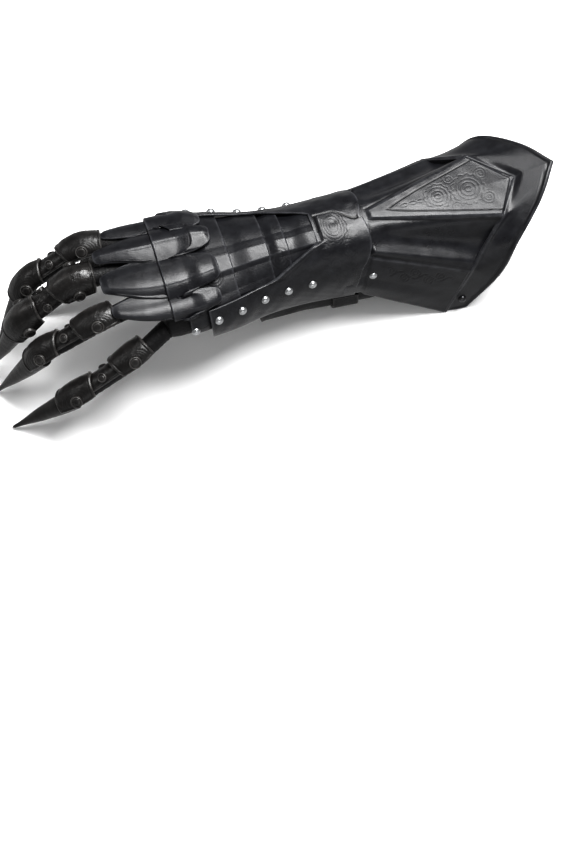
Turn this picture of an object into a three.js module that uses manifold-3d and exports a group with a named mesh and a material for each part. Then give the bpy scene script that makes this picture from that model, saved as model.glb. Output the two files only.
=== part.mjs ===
// A left-hand armoured gauntlet in black leather, lying on a level surface.
// Millimetres, +Z up. +X runs from the fingers to the cuff, +Y to the thumb side.
// While it is modelled, x = 0 is where the forearm plate meets the cuff and z = 0 is the
// surface it lies on; at the end the whole group is centred over its own footprint.
import * as THREE from 'three';
import { mergeVertices } from 'three/addons/utils/BufferGeometryUtils.js';
import Module from 'manifold-3d';

// Driving dimensions
const HAND_REACH = 168;        // cuff joint to the knuckle end of the glove
const HAND_WIDTH = 90;         // glove across the knuckles
const KNUCKLE_HEIGHT = 103;    // back of the hand above the surface
const PLATE_WALL = 1.8;        // leather of the hand, wrist and forearm plates
const CUFF_WALL = 2.4;
const GLOVE_WALL = 1.4;
const LAYER_GAP = 0.5;         // clearance between leather layers
const FINGER_GAP = 0.9;        // the same round the bent fingers
const LAP = 6;                 // how far one wrist lame lies over the next
const CUFF_LENGTH = 163;       // cuff joint to the point of the rim
const CUFF_SPREAD = 124;       // across the lower corners of the cuff
const CUFF_TIP_HEIGHT = 100;   // point of the rim above the surface
const RIM_WIDTH = 34;          // flared band at the point
const FINGER_LENGTH = 208;     // middle finger, glove root to claw tip, along its joints
const FINGER_RADIUS = 8.2;     // glove finger at its middle joint
const CAP_WALL = 1.6;          // finger caps, finger plates and claws
const CLAW_TIP_RADIUS = 1.2;
const DISC_RADIUS = 5;         // round leather washers on the caps
const DISC_HEIGHT = 2;
const RIVET_RADIUS = 3.5;
const RIVET_HEIGHT = 2.4;
const RIVET_PITCH = 20.3;
const RIVET_GAP = 0.4;
const STRAP_WIDTH = 21;
const STRAP_WALL = 2;
const BUCKLE_BAR = 2;

// Levels of leather over the glove, each given by its outer face
const TUCKED = LAYER_GAP + PLATE_WALL;
const LIFTED = TUCKED + LAYER_GAP + PLATE_WALL;
const OUTER = LIFTED + LAYER_GAP + PLATE_WALL;

const BLACK = { colour: 0x17171a, roughness: 0.42, metalness: 0 };
const SOFT_BLACK = { colour: 0x131214, roughness: 0.62, metalness: 0 };
const TOOLED = { colour: 0x1a1816, roughness: 0.5, metalness: 0 };
const STEEL = { colour: 0xb9bcc0, roughness: 0.22, metalness: 1 };
const DARK_STEEL = { colour: 0x3a3a3c, roughness: 0.35, metalness: 1 };

const rad = THREE.MathUtils.degToRad;
const mix = THREE.MathUtils.lerp;
const smooth = (x, low, high) => THREE.MathUtils.smoothstep(x, low, high);

const UP = new THREE.Vector3(0, 0, 1);
const group = new THREE.Group();

function addMesh(name, geometry, look) {
  const material = new THREE.MeshStandardMaterial({
    color: look.colour,
    roughness: look.roughness,
    metalness: look.metalness,
  });
  const mesh = new THREE.Mesh(geometry, material);
  mesh.name = name;
  group.add(mesh);
  return mesh;
}

// Closed bodies from a grid of points

function fromTriangles(points, triangles) {
  const geometry = new THREE.BufferGeometry();
  geometry.setAttribute('position', new THREE.Float32BufferAttribute(points, 3));
  geometry.setIndex(triangles);
  return geometry;
}

// Outward direction of a surface at (u, v), from points close to it on either side
function normalAt(surface, u, v) {
  const step = 1e-3;
  const along = surface(u + step, v).sub(surface(u - step, v));
  const across = surface(u, v + step).sub(surface(u, v - step));
  return along.cross(across).normalize();
}

// A wall of leather under a surface: u and v are lists of grid lines, and the wall lies
// on the side away from the normal. A closed one joins its last v line to the first.
function wallUnder(surface, uLines, vLines, wall, closed = false) {
  const points = [];
  const triangles = [];
  const nu = uLines.length;
  const nv = vLines.length;
  for (const depth of [0, wall]) {
    for (const u of uLines) {
      for (const v of vLines) {
        const p = surface(u, v).addScaledVector(normalAt(surface, u, v), -depth);
        points.push(p.x, p.y, p.z);
      }
    }
  }
  const inside = nu * nv;
  const at = (i, j, base) => base + i * nv + (j % nv);
  const quad = (a, b, c, d) => triangles.push(a, b, c, a, c, d);
  const columns = closed ? nv : nv - 1;
  for (let j = 0; j < columns; j += 1) {
    for (let i = 0; i < nu - 1; i += 1) {
      quad(at(i, j, 0), at(i + 1, j, 0), at(i + 1, j + 1, 0), at(i, j + 1, 0));
      quad(at(i, j, inside), at(i, j + 1, inside), at(i + 1, j + 1, inside), at(i + 1, j, inside));
    }
    quad(at(0, j, 0), at(0, j + 1, 0), at(0, j + 1, inside), at(0, j, inside));
    quad(at(nu - 1, j, 0), at(nu - 1, j, inside), at(nu - 1, j + 1, inside), at(nu - 1, j + 1, 0));
  }
  if (!closed) {
    for (let i = 0; i < nu - 1; i += 1) {
      quad(at(i, 0, 0), at(i, 0, inside), at(i + 1, 0, inside), at(i + 1, 0, 0));
      quad(at(i, nv - 1, 0), at(i + 1, nv - 1, 0), at(i + 1, nv - 1, inside), at(i, nv - 1, inside));
    }
  }
  return fromTriangles(points, triangles);
}

function evenly(from, to, steps) {
  return Array.from({ length: steps + 1 }, (_, i) => mix(from, to, i / steps));
}

// Full turns leave out the last line, which is the first one again
function aroundOnce(steps) {
  return evenly(0, 1, steps).slice(0, steps);
}

// Joins and cuts of closed bodies
const wasm = await Module();
wasm.setup();

function toSolid(geometry) {
  const bare = geometry.clone();
  bare.deleteAttribute('normal');
  bare.deleteAttribute('uv');
  const merged = mergeVertices(bare, 1e-4);
  return new wasm.Manifold(new wasm.Mesh({
    numProp: 3,
    vertProperties: Float32Array.from(merged.attributes.position.array),
    triVerts: Uint32Array.from(merged.index.array),
  }));
}

function toGeometry(solid) {
  const mesh = solid.getMesh();
  return fromTriangles(Array.from(mesh.vertProperties), Array.from(mesh.triVerts));
}

function joined(geometries) {
  return toGeometry(geometries.map(toSolid).reduce((sum, next) => sum.add(next)));
}

// The gloved hand and forearm that every plate follows. Along it, 'at' is a share of
// HAND_REACH from the cuff joint, 'half' of HAND_WIDTH, and the heights of KNUCKLE_HEIGHT.
const BODY = [
  { at: -1.28, half: 0.535, top: 1.01, side: 0.81, bottom: 0.68 },
  { at: -1.12, half: 0.54, top: 1.02, side: 0.8, bottom: 0.64 },
  { at: -1.0, half: 0.53, top: 1.01, side: 0.78, bottom: 0.58 },
  { at: -0.87, half: 0.525, top: 0.995, side: 0.75, bottom: 0.5 },
  { at: -0.7, half: 0.475, top: 0.97, side: 0.69, bottom: 0.4 },
  { at: -0.52, half: 0.39, top: 0.95, side: 0.62, bottom: 0.29 },
  { at: -0.33, half: 0.355, top: 0.93, side: 0.56, bottom: 0.19 },
  { at: -0.12, half: 0.37, top: 0.905, side: 0.5, bottom: 0.14 },
  { at: 0.08, half: 0.39, top: 0.88, side: 0.45, bottom: 0.13 },
  { at: 0.36, half: 0.37, top: 0.85, side: 0.41, bottom: 0.15 },
];
const BODY_ROUNDNESS = 2.3;
const BODY_SHIFT = { knuckles: -1.5, joint: 0 };

// Smooth value of one column of a table whose rows are ordered by 'at'
function fromTable(table, column, at) {
  const last = table.length - 1;
  let i = table.findIndex((row) => row.at > at) - 1;
  if (i < 0) i = at <= table[0].at ? 0 : last - 1;
  const slope = (k) => {
    const a = table[Math.max(k - 1, 0)];
    const b = table[Math.min(k + 1, last)];
    return (b[column] - a[column]) / (b.at - a.at);
  };
  const span = table[i + 1].at - table[i].at;
  const t = THREE.MathUtils.clamp((at - table[i].at) / span, 0, 1);
  const bend0 = slope(i) * span;
  const bend1 = slope(i + 1) * span;
  const rise = table[i + 1][column] - table[i][column];
  return table[i][column] + bend0 * t + (3 * rise - 2 * bend0 - bend1) * t * t
    + (bend0 + bend1 - 2 * rise) * t * t * t;
}

// A point 'off' outside the glove, at x and at an angle from the top, + to the thumb side
function bodyPoint(x, angle, off) {
  const at = x / HAND_REACH;
  const half = fromTable(BODY, 'half', at) * HAND_WIDTH;
  const top = fromTable(BODY, 'top', at) * KNUCKLE_HEIGHT;
  const side = fromTable(BODY, 'side', at) * KNUCKLE_HEIGHT;
  const bottom = fromTable(BODY, 'bottom', at) * KNUCKLE_HEIGHT;
  const s = Math.sin(rad(angle));
  const c = Math.cos(rad(angle));
  const power = 2 / BODY_ROUNDNESS;
  const reach = c >= 0 ? top - side + off : side - bottom + off;
  const y = (half + off) * Math.sign(s) * Math.abs(s) ** power;
  const z = side + reach * Math.sign(c) * Math.abs(c) ** power;
  return new THREE.Vector3(x, y + mix(BODY_SHIFT.joint, BODY_SHIFT.knuckles, -at), z);
}

function bodyNormal(x, angle, off) {
  return normalAt((u, v) => bodyPoint(x + u, angle + v, off), 0, 0);
}

// Fingers: lengths are shares of FINGER_LENGTH, 'across' of HAND_WIDTH, 'height' of
// KNUCKLE_HEIGHT, 'size' of FINGER_RADIUS. Yaw turns to the thumb side, pitch down. The
// three values of each are for the knuckle bone, the middle bone and the claw.
const FINGERS = [
  {
    name: 'index', across: 0.35, height: 0.86, size: 1, roll: 44,
    lengths: [0.3, 0.265, 0.375], yaw: [9, -6, -22], pitch: [-4, 28, 57.6],
  },
  {
    name: 'middle', across: 0.135, height: 0.87, size: 1.03, roll: 5,
    lengths: [0.365, 0.262, 0.38], yaw: [0, -9, -3], pitch: [-7, 31, 61.7],
  },
  {
    name: 'ring', across: -0.11, height: 0.865, size: 1, roll: 44,
    lengths: [0.33, 0.258, 0.38], yaw: [-13, 0, 7], pitch: [-3, 32, 52.9],
  },
  {
    name: 'pinky', across: -0.355, height: 0.79, size: 0.96, roll: 44,
    lengths: [0.25, 0.27, 0.355], yaw: [-25, -9, 7], pitch: [13, 26, 36.4],
  },
];
const THUMB = {
  name: 'thumb', across: 0.28, height: 0.6, size: 1.08, roll: 48,
  lengths: [0.26, 0.22, 0.37], yaw: [34, -4, -14], pitch: [9, 14, 32.3],
};
const FINGER_ROOT = 0.94;      // where a finger leaves the hand, as a share of HAND_REACH
const THUMB_ROOT = 0.68;
const JOINT_BEND = 13;         // length of path that a finger joint rounds off each side

function heading(yaw, pitch) {
  return new THREE.Vector3(
    -Math.cos(rad(yaw)) * Math.cos(rad(pitch)),
    Math.sin(rad(yaw)) * Math.cos(rad(pitch)),
    -Math.sin(rad(pitch)),
  );
}

// A finger's pitches, with its last two bones curled so far that its claw's point comes
// down to the surface. The table's own pitches are those of the real model.
const CURL_TRIES = 40;
function curledPitches(finger, lengths) {
  const needed = finger.height * KNUCKLE_HEIGHT - CLAW_TIP_RADIUS;
  const curled = (curl) => finger.pitch.map((pitch, i) => (i === 0 ? pitch : pitch + curl));
  const drop = (curl) => curled(curl).reduce((sum, pitch, i) => sum + lengths[i] * Math.sin(rad(pitch)), 0);
  let flatter = -finger.pitch[1];
  let steeper = 90 - finger.pitch[2];
  for (let i = 0; i < CURL_TRIES; i += 1) {
    const half = (flatter + steeper) / 2;
    if (drop(half) < needed) flatter = half;
    else steeper = half;
  }
  return curled(flatter);
}

// The centre line of a finger: three straight bones with rounded joints
function fingerPath(finger, rootShare) {
  const lengths = finger.lengths.map((share) => share * FINGER_LENGTH);
  const pitches = curledPitches(finger, lengths);
  const root = new THREE.Vector3(
    -rootShare * HAND_REACH,
    finger.across * HAND_WIDTH + BODY_SHIFT.knuckles,
    finger.height * KNUCKLE_HEIGHT,
  );
  const boneEnd = (from, i) => from.clone().addScaledVector(heading(finger.yaw[i], pitches[i]), lengths[i]);
  const knee = boneEnd(root, 0);
  const tipJoint = boneEnd(knee, 1);
  const tip = boneEnd(tipJoint, 2);
  const toward = (a, b) => a.clone().addScaledVector(b.clone().sub(a).normalize(), JOINT_BEND);
  const path = new THREE.CurvePath();
  path.add(new THREE.LineCurve3(root, toward(knee, root)));
  path.add(new THREE.QuadraticBezierCurve3(toward(knee, root), knee, toward(knee, tipJoint)));
  path.add(new THREE.LineCurve3(toward(knee, tipJoint), toward(tipJoint, knee)));
  path.add(new THREE.QuadraticBezierCurve3(toward(tipJoint, knee), tipJoint, toward(tipJoint, tip)));
  path.add(new THREE.LineCurve3(toward(tipJoint, tip), tip));
  const parts = path.curves.map((curve) => curve.getLength());
  const knuckleAt = parts[0] + parts[1] / 2;
  const tipJointAt = parts[0] + parts[1] + parts[2] + parts[3] / 2;
  return {
    path,
    radius: finger.size * FINGER_RADIUS,
    roll: finger.roll,
    length: path.getLength(),
    knuckleAt,
    tipJointAt,
  };
}

// A point of a finger: s along it, angle from its back, r from its centre line
function fingerPoint(bone, s, angle, r) {
  const share = THREE.MathUtils.clamp(s / bone.length, 0, 1);
  const centre = bone.path.getPoint(share);
  const along = bone.path.getTangent(share);
  const over = s - share * bone.length;
  centre.addScaledVector(along, over);
  const side = new THREE.Vector3().crossVectors(UP, along).normalize();
  const back = new THREE.Vector3().crossVectors(along, side);
  const turn = rad(angle - bone.roll);
  return centre.addScaledVector(back, Math.cos(turn) * r).addScaledVector(side, Math.sin(turn) * r);
}

// Radius of the glove finger along its length: fuller at the root, slimmer at the claw
const ROOT_FULLNESS = 1.04;
const TIP_SLIMNESS = 0.86;
function gloveRadius(bone, s) {
  const share = THREE.MathUtils.clamp(s / bone.tipJointAt, 0, 1);
  return bone.radius * mix(ROOT_FULLNESS, TIP_SLIMNESS, share);
}

const FINGER_SIDES = 8;
const SLEEVE_PAST_JOINT = 20;
function sleeveEnd(bone) {
  return bone.tipJointAt + SLEEVE_PAST_JOINT;
}

// Rows of a glove finger, close together only where a joint bends it
function sleeveRows(bone) {
  const bends = [bone.knuckleAt, bone.tipJointAt].flatMap((s) => [s - JOINT_BEND, s, s + JOINT_BEND]);
  return [0, ...bends, sleeveEnd(bone)].map((s) => s / sleeveEnd(bone));
}

function gloveFinger(bone) {
  const surface = (u, v) => {
    const s = u * sleeveEnd(bone);
    return fingerPoint(bone, s, v * 360, gloveRadius(bone, s));
  };
  return wallUnder(surface, sleeveRows(bone), aroundOnce(FINGER_SIDES), GLOVE_WALL, true);
}

// The solid that a finger needs clear where it leaves the hand
function fingerBore(bone, back, ahead) {
  const points = [];
  const triangles = [];
  const n = FINGER_SIDES;
  const rings = [-back, ...sleeveRows(bone).map((u) => u * sleeveEnd(bone)).filter((s) => s < ahead), ahead];
  rings.forEach((s) => {
    for (const v of aroundOnce(n)) {
      const p = fingerPoint(bone, s, v * 360, gloveRadius(bone, s) + LAYER_GAP);
      points.push(p.x, p.y, p.z);
    }
  });
  for (const s of [-back, ahead]) {
    const centre = fingerPoint(bone, s, 0, 0);
    points.push(centre.x, centre.y, centre.z);
  }
  const first = rings.length * n;
  const last = (rings.length - 1) * n;
  for (let j = 0; j < n; j += 1) {
    const next = (j + 1) % n;
    for (let row = 0; row < last; row += n) {
      triangles.push(row + j, row + n + j, row + n + next, row + j, row + n + next, row + next);
    }
    triangles.push(j, next, first, last + j, first + 1, last + next);
  }
  return fromTriangles(points, triangles);
}

// A curved cap over the back of a finger, from one length to another, with a dome, a
// point on each end and a half angle that it reaches round the finger.
function fingerCap(bone, cap) {
  const surface = (u, v) => {
    const start = cap.from - cap.startPoint * (1 - Math.abs(v));
    const end = cap.to + cap.endPoint * (1 - Math.abs(v));
    const s = mix(start, end, u);
    const dome = cap.dome * Math.sin(Math.PI * THREE.MathUtils.clamp(u, 0, 1));
    const inner = gloveRadius(bone, (cap.from + cap.to) / 2) + cap.off;
    return fingerPoint(bone, s, v * cap.reach, inner + CAP_WALL + dome * (1 - 0.3 * v * v));
  };
  return { surface, geometry: wallUnder(surface, evenly(0, 1, cap.rows), evenly(-1, 1, 6), CAP_WALL) };
}

// A round washer standing on a surface
const WASHER_SIDES = 8;
function washer(surface, u, v, radius) {
  const centre = surface(u, v);
  const out = normalAt(surface, u, v);
  const foot = CAP_WALL * 0.6;
  const disc = new THREE.CylinderGeometry(radius, radius, DISC_HEIGHT + foot, WASHER_SIDES);
  disc.translate(0, (DISC_HEIGHT - foot) / 2, 0);
  disc.applyQuaternion(new THREE.Quaternion().setFromUnitVectors(new THREE.Vector3(0, 1, 0), out));
  disc.translate(centre.x, centre.y, centre.z);
  return disc;
}

function cappedWithWashers(bone, cap, place, radius) {
  const { surface, geometry } = fingerCap(bone, cap);
  return joined([geometry, ...[-1, 1].map((side) => washer(surface, place.u, side * place.v, radius))]);
}

// Lengths along a finger that its armour covers, measured from its joints
const KNUCKLE_CAP_HALF = 15;
const TIP_CAP_BEFORE = 15;
const TIP_CAP_AFTER = 15;
const CAP_POINT = 6;
const PLATE_UNDER_CAP = 7;
const CAP_DOME = 1.1;
const PLATE_LEVEL = FINGER_GAP;
const CAP_LEVEL = PLATE_LEVEL + CAP_WALL + FINGER_GAP;

function knuckleCap(bone) {
  const cap = {
    from: bone.knuckleAt - KNUCKLE_CAP_HALF, to: bone.knuckleAt + KNUCKLE_CAP_HALF * 0.75,
    startPoint: 0, endPoint: CAP_POINT, dome: CAP_DOME, off: CAP_LEVEL, reach: 98, rows: 4,
  };
  return cappedWithWashers(bone, cap, { u: 0.5, v: 0.78 }, DISC_RADIUS);
}

function middlePlate(bone) {
  const cap = {
    from: bone.knuckleAt + KNUCKLE_CAP_HALF - PLATE_UNDER_CAP,
    to: bone.tipJointAt - TIP_CAP_BEFORE + PLATE_UNDER_CAP,
    startPoint: 0, endPoint: 0, dome: 0, off: PLATE_LEVEL, reach: 88, rows: 3,
  };
  return cappedWithWashers(bone, cap, { u: 0.48, v: 0.62 }, DISC_RADIUS * 0.75);
}

function tipCap(bone) {
  const cap = {
    from: bone.tipJointAt - TIP_CAP_BEFORE, to: bone.tipJointAt + TIP_CAP_AFTER,
    startPoint: CAP_POINT, endPoint: 0, dome: CAP_DOME, off: CAP_LEVEL, reach: 104, rows: 4,
  };
  return cappedWithWashers(bone, cap, { u: 0.45, v: 0.78 }, DISC_RADIUS);
}

// A hollow claw whose open end is tucked under the tip cap and over the glove finger
const CLAW_START = 5;          // beyond the tip joint
function claw(bone) {
  const start = bone.tipJointAt + CLAW_START;
  const base = gloveRadius(bone, start) + FINGER_GAP * 0.6;
  const length = bone.length - start;
  const hollow = length * 0.62;
  const sides = 8;
  const rings = [
    { s: 0, r: base + CAP_WALL },
    { s: length * 0.2, r: base + CAP_WALL * 0.9 },
    { s: length * 0.55, r: (base + CAP_WALL) * 0.62 },
    { s: length * 0.85, r: (base + CAP_WALL) * 0.24 },
    { s: length, r: CLAW_TIP_RADIUS },
    { s: length, r: 0 },
  ];
  const cavity = [
    { s: hollow, r: 0 },
    { s: hollow, r: base * 0.3 },
    { s: sleeveEnd(bone) - start + LAYER_GAP, r: base },
    { s: 0, r: base },
  ];
  const profile = [...rings, ...cavity];
  const points = [];
  const triangles = [];
  const first = profile.map((ring) => {
    const index = points.length / 3;
    const around = ring.r === 0 ? [0] : aroundOnce(sides);
    for (const v of around) {
      const p = fingerPoint(bone, start + ring.s, v * 360, ring.r);
      points.push(p.x, p.y, p.z);
    }
    return index;
  });
  profile.forEach((ring, i) => {
    const next = (i + 1) % profile.length;
    if (ring.r === 0 && profile[next].r === 0) return;
    for (let j = 0; j < sides; j += 1) {
      const a = first[i] + (ring.r === 0 ? 0 : j);
      const b = first[i] + (ring.r === 0 ? 0 : (j + 1) % sides);
      const c = first[next] + (profile[next].r === 0 ? 0 : j);
      const d = first[next] + (profile[next].r === 0 ? 0 : (j + 1) % sides);
      if (a !== b) triangles.push(a, d, b);
      if (c !== d) triangles.push(a, c, d);
    }
  });
  return fromTriangles(points, triangles);
}

// The hand of the glove: open at the wrist, closed at the knuckles but for the fingers
const GLOVE_BACK = 0.44;       // wrist end, as a share of HAND_REACH
const GLOVE_SIDES = 16;
const BORE_BACK = 30;          // how far a finger's hole runs each way from its root
const THUMB_BORE = 66;
function gloveHand(bones, thumb) {
  const tube = evenly(GLOVE_BACK, 1, 6).map((share) => ({ x: -share * HAND_REACH, shrink: 0 }));
  const nose = [{ reach: 4, shrink: 0.18 }, { reach: 7, shrink: 0.5 }];
  const outer = [...tube, ...nose.map((ring) => ({ x: -HAND_REACH - ring.reach, shrink: ring.shrink }))];
  const section = (ring, off) => aroundOnce(GLOVE_SIDES).map((v) => {
    const p = bodyPoint(ring.x, v * 360, off);
    const axis = bodyPoint(ring.x, 90, 0);
    p.y = mix(p.y, BODY_SHIFT.knuckles, ring.shrink * 0.25);
    p.z = mix(p.z, axis.z, ring.shrink);
    return p;
  });
  const points = [];
  const triangles = [];
  const rows = [];
  const addRow = (row) => {
    rows.push(points.length / 3);
    row.forEach((p) => points.push(p.x, p.y, p.z));
  };
  outer.forEach((ring) => addRow(section(ring, 0)));
  const capOuter = points.length / 3;
  const last = outer[outer.length - 1];
  points.push(last.x, BODY_SHIFT.knuckles, bodyPoint(last.x, 90, 0).z);
  outer.forEach((ring, i) => {
    const pulled = i < tube.length ? ring.x : ring.x + GLOVE_WALL;
    addRow(section({ x: pulled, shrink: ring.shrink }, -GLOVE_WALL));
  });
  const capInner = points.length / 3;
  points.push(last.x + GLOVE_WALL, BODY_SHIFT.knuckles, bodyPoint(last.x, 90, 0).z);
  const n = GLOVE_SIDES;
  const count = outer.length;
  for (let j = 0; j < n; j += 1) {
    const k = (j + 1) % n;
    for (let i = 0; i < count - 1; i += 1) {
      const [a, b] = [rows[i], rows[i + 1]];
      triangles.push(a + j, a + k, b + k, a + j, b + k, b + j);
      const [c, d] = [rows[count + i], rows[count + i + 1]];
      triangles.push(c + j, d + k, c + k, c + j, d + j, d + k);
    }
    triangles.push(rows[count - 1] + j, rows[count - 1] + k, capOuter);
    triangles.push(rows[2 * count - 1] + j, capInner, rows[2 * count - 1] + k);
    const [front, back] = [rows[0], rows[count]];
    triangles.push(front + j, back + j, back + k, front + j, back + k, front + k);
  }
  let hand = toSolid(fromTriangles(points, triangles));
  bones.forEach((bone) => {
    hand = hand.subtract(toSolid(fingerBore(bone, BORE_BACK, BORE_BACK)));
  });
  return toGeometry(hand.subtract(toSolid(fingerBore(thumb, BORE_BACK, THUMB_BORE))));
}

// Plates wrapped over the hand and wrist, at the levels above. A plate runs between two
// x places and two angles, and 'level' gives the outer face of its leather along it.
function wrapped(plate) {
  const surface = (u, v) => {
    const x = mix(plate.from(v), plate.to(v), u);
    return bodyPoint(x, v, plate.level(u));
  };
  return wallUnder(surface, plate.rows, plate.angles, PLATE_WALL);
}

// A joggle: tucked at the hand end, lifted over the next plate at the cuff end
const joggle = (u) => mix(TUCKED, LIFTED, smooth(u, 0.3, 0.7));

// Angles that every wrapped plate shares, so that the layers lie parallel
const FOLD_STEP = 13;
function sharedAngles(from, to) {
  return evenly(from, to, Math.round((to - from) / FOLD_STEP));
}

const LAMES = [
  { name: 'wrist_lame_1', from: -0.73, to: -0.475 },
  { name: 'wrist_lame_2', from: -0.475, to: -0.38 },
  { name: 'wrist_lame_3', from: -0.38, to: -0.25 },
];
const LAME_REACH = 6 * FOLD_STEP;
function wristLame(lame, index) {
  const start = lame.from * HAND_REACH - (index > 0 ? LAP : 0);
  return wrapped({
    from: () => start,
    to: () => lame.to * HAND_REACH,
    level: joggle,
    rows: [0, 0.3, 0.5, 0.7, 1],
    angles: sharedAngles(-LAME_REACH, LAME_REACH),
  });
}

const HAND_PLATE = { from: -0.915, to: -0.66, reach: 7 * FOLD_STEP };
function handPlate() {
  return wrapped({
    from: () => HAND_PLATE.from * HAND_REACH,
    to: () => HAND_PLATE.to * HAND_REACH,
    level: (u) => mix(TUCKED, LIFTED, smooth(u, 0.42, 0.66)),
    rows: [0, 0.4, 0.54, 0.68, 1],
    angles: sharedAngles(-HAND_PLATE.reach, HAND_PLATE.reach),
  });
}

// The forearm plate with a long riveted strip forward along each side of the wrist
const FOREARM_FROM = -0.285;
const STRIP_FROM = -0.82;
const STRIP_TOP = 4 * FOLD_STEP;
const STRIP_REACH = 8 * FOLD_STEP;
const STRIP_SHOULDER = 4;       // angle over which the plate steps forward into a strip
const SCALLOP = 5;
const JOINT_SLANT = 15;          // how far the joint with the cuff runs back down each side
function jointLine(angle) {
  return -JOINT_SLANT * Math.min(Math.abs(angle) / 90, 1) ** 1.5;
}

function forearmPlate() {
  const strip = sharedAngles(STRIP_TOP, STRIP_REACH);
  const onTop = sharedAngles(FOLD_STEP - STRIP_TOP, STRIP_TOP - FOLD_STEP);
  const shoulder = STRIP_TOP - STRIP_SHOULDER;
  return wrapped({
    from: (a) => mix(FOREARM_FROM, STRIP_FROM, smooth(Math.abs(a), shoulder, STRIP_TOP)) * HAND_REACH,
    to: (a) => jointLine(a) + SCALLOP * Math.sin(rad(Math.min(Math.abs(a), 60) * 3)),
    level: () => OUTER,
    rows: evenly(0, 1, 6),
    angles: [...strip.map((a) => -a).reverse(), -shoulder, ...onTop, shoulder, ...strip],
  });
}

// Fluted knuckle combs: four lobes side by side, each a half-round flute with a round
// end. 'near' and 'far' are the angles of a lobe's edges at the crease.
const LOBES = [
  { name: 'pinky', near: -54, far: -29, front: 0.95, back: 0.9, leanFront: 16, leanBack: 5 },
  { name: 'ring', near: -29, far: 4, front: 1, back: 1, leanFront: 11, leanBack: 2 },
  { name: 'middle', near: 4, far: 40, front: 1, back: 1.02, leanFront: 2, leanBack: -5 },
  { name: 'index', near: 40, far: 80, front: 0.8, back: 0.94, leanFront: -2, leanBack: -22 },
];
const CREASE = 0.955;           // share of HAND_REACH
const FRONT_LOBE = 53;          // crease to the longest lobe's end
const BACK_LOBE = 39;
const LOBE_WEB = 0.3;           // share of a lobe's length that stays joined to the next
const FLUTE_HEIGHT = 3.2;
const CREASE_LAP = 5;
const LOBE_STEPS = [-1, -0.86, -0.45, 0, 0.45, 0.86];

function lobeAt(angle) {
  const lobe = LOBES.find((l) => angle < l.far) ?? LOBES[LOBES.length - 1];
  const middle = (lobe.near + lobe.far) / 2;
  const across = THREE.MathUtils.clamp((angle - middle) / ((lobe.far - lobe.near) / 2), -1, 1);
  return { lobe, across };
}

// Away from the crease the lobes lean together, the more so the further out
function leanAt(angle, column) {
  const rows = LOBES.map((lobe) => ({ at: (lobe.near + lobe.far) / 2, lean: lobe[column] }));
  return fromTable(rows, 'lean', THREE.MathUtils.clamp(angle, rows[0].at, rows[3].at));
}

function comb(direction, lobeLength, end, baseLevel, start) {
  const columns = LOBES.flatMap((lobe) => LOBE_STEPS.map((t) => {
    return mix(lobe.near, lobe.far, (t + 1) / 2);
  }));
  columns.push(LOBES[LOBES.length - 1].far);
  const surface = (u, v) => {
    const { lobe, across } = lobeAt(v);
    const round = (1 - Math.abs(across) ** 4) ** 0.5;
    const length = lobeLength * lobe[end] * mix(LOBE_WEB, 1, round);
    const x = start + direction * u * (length + CREASE_LAP);
    const flute = FLUTE_HEIGHT * Math.sqrt(1 - 0.96 * across * across);
    const lean = leanAt(v, end === 'front' ? 'leanFront' : 'leanBack') * u * u;
    return bodyPoint(x, v + lean, baseLevel(u) + flute);
  };
  const mirrored = (u, v) => surface(u, -v);
  const rows = [0, 0.25, 0.5, 0.78, 1];
  if (direction > 0) return wallUnder(surface, rows, columns, PLATE_WALL);
  return wallUnder(mirrored, rows, columns.map((v) => -v).reverse(), PLATE_WALL);
}

function frontComb() {
  return comb(-1, FRONT_LOBE, 'front', () => TUCKED, -CREASE * HAND_REACH + CREASE_LAP);
}

function backComb() {
  const start = -CREASE * HAND_REACH - CREASE_LAP;
  return comb(1, BACK_LOBE, 'back', (u) => mix(LIFTED, OUTER, smooth(u, 0.4, 0.7)), start);
}

// The cuff: a collar under the forearm plate, then five panels flaring out to a band.
// v is 0 at the middle of the back and 1 at the lower edges.
const CUFF_KITE = 0.28;         // v of the edge of the middle, kite-shaped panel
const CUFF_PANEL = 0.66;        // v of the line between the dished and the flat panel
const COLLAR_BACK = -9;
const COLLAR_FRONT = 5;
const COLLAR_ANGLES = { kite: 4, panel: 46, edge: 85 };
const CUFF_LINES = {
  inner: [
    { at: 0, along: 1, side: 0, height: 0.93 },
    { at: CUFF_KITE, along: 0.815, side: 0.47, height: 0.88 },
    { at: CUFF_PANEL, along: 0.615, side: 0.86, height: 0.55 },
    { at: 1, along: 0.46, side: 0.98, height: 0 },
  ],
  rim: [
    { at: 0, along: 1, side: 0, height: 1 },
    { at: CUFF_KITE, along: 0.885, side: 0.42, height: 0.94 },
    { at: 0.47, along: 0.735, side: 0.79, height: 0.79 },
    { at: CUFF_PANEL, along: 0.645, side: 0.95, height: 0.45 },
    { at: 1, along: 0.48, side: 1, height: 0 },
  ],
};
const DISH = 5;                 // depth of the two dished panels

// A point of a cuff line: shares of its reach, of half the spread and of the tip height
function cuffPoint(v, reach, value) {
  return new THREE.Vector3(
    value('along') * reach,
    value('side') * Math.sign(v) * CUFF_SPREAD / 2,
    value('height') * CUFF_TIP_HEIGHT,
  );
}

// The folds run straight from corner to corner, the rim in one smooth sweep
function foldLine(v) {
  const rows = CUFF_LINES.inner;
  const t = Math.abs(v);
  const i = t < CUFF_KITE ? 0 : (t < CUFF_PANEL ? 1 : 2);
  const share = (t - rows[i].at) / (rows[i + 1].at - rows[i].at);
  return cuffPoint(v, CUFF_LENGTH - RIM_WIDTH, (column) => mix(rows[i][column], rows[i + 1][column], share));
}

function rimLine(v) {
  return cuffPoint(v, CUFF_LENGTH, (column) => fromTable(CUFF_LINES.rim, column, Math.abs(v)));
}

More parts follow.
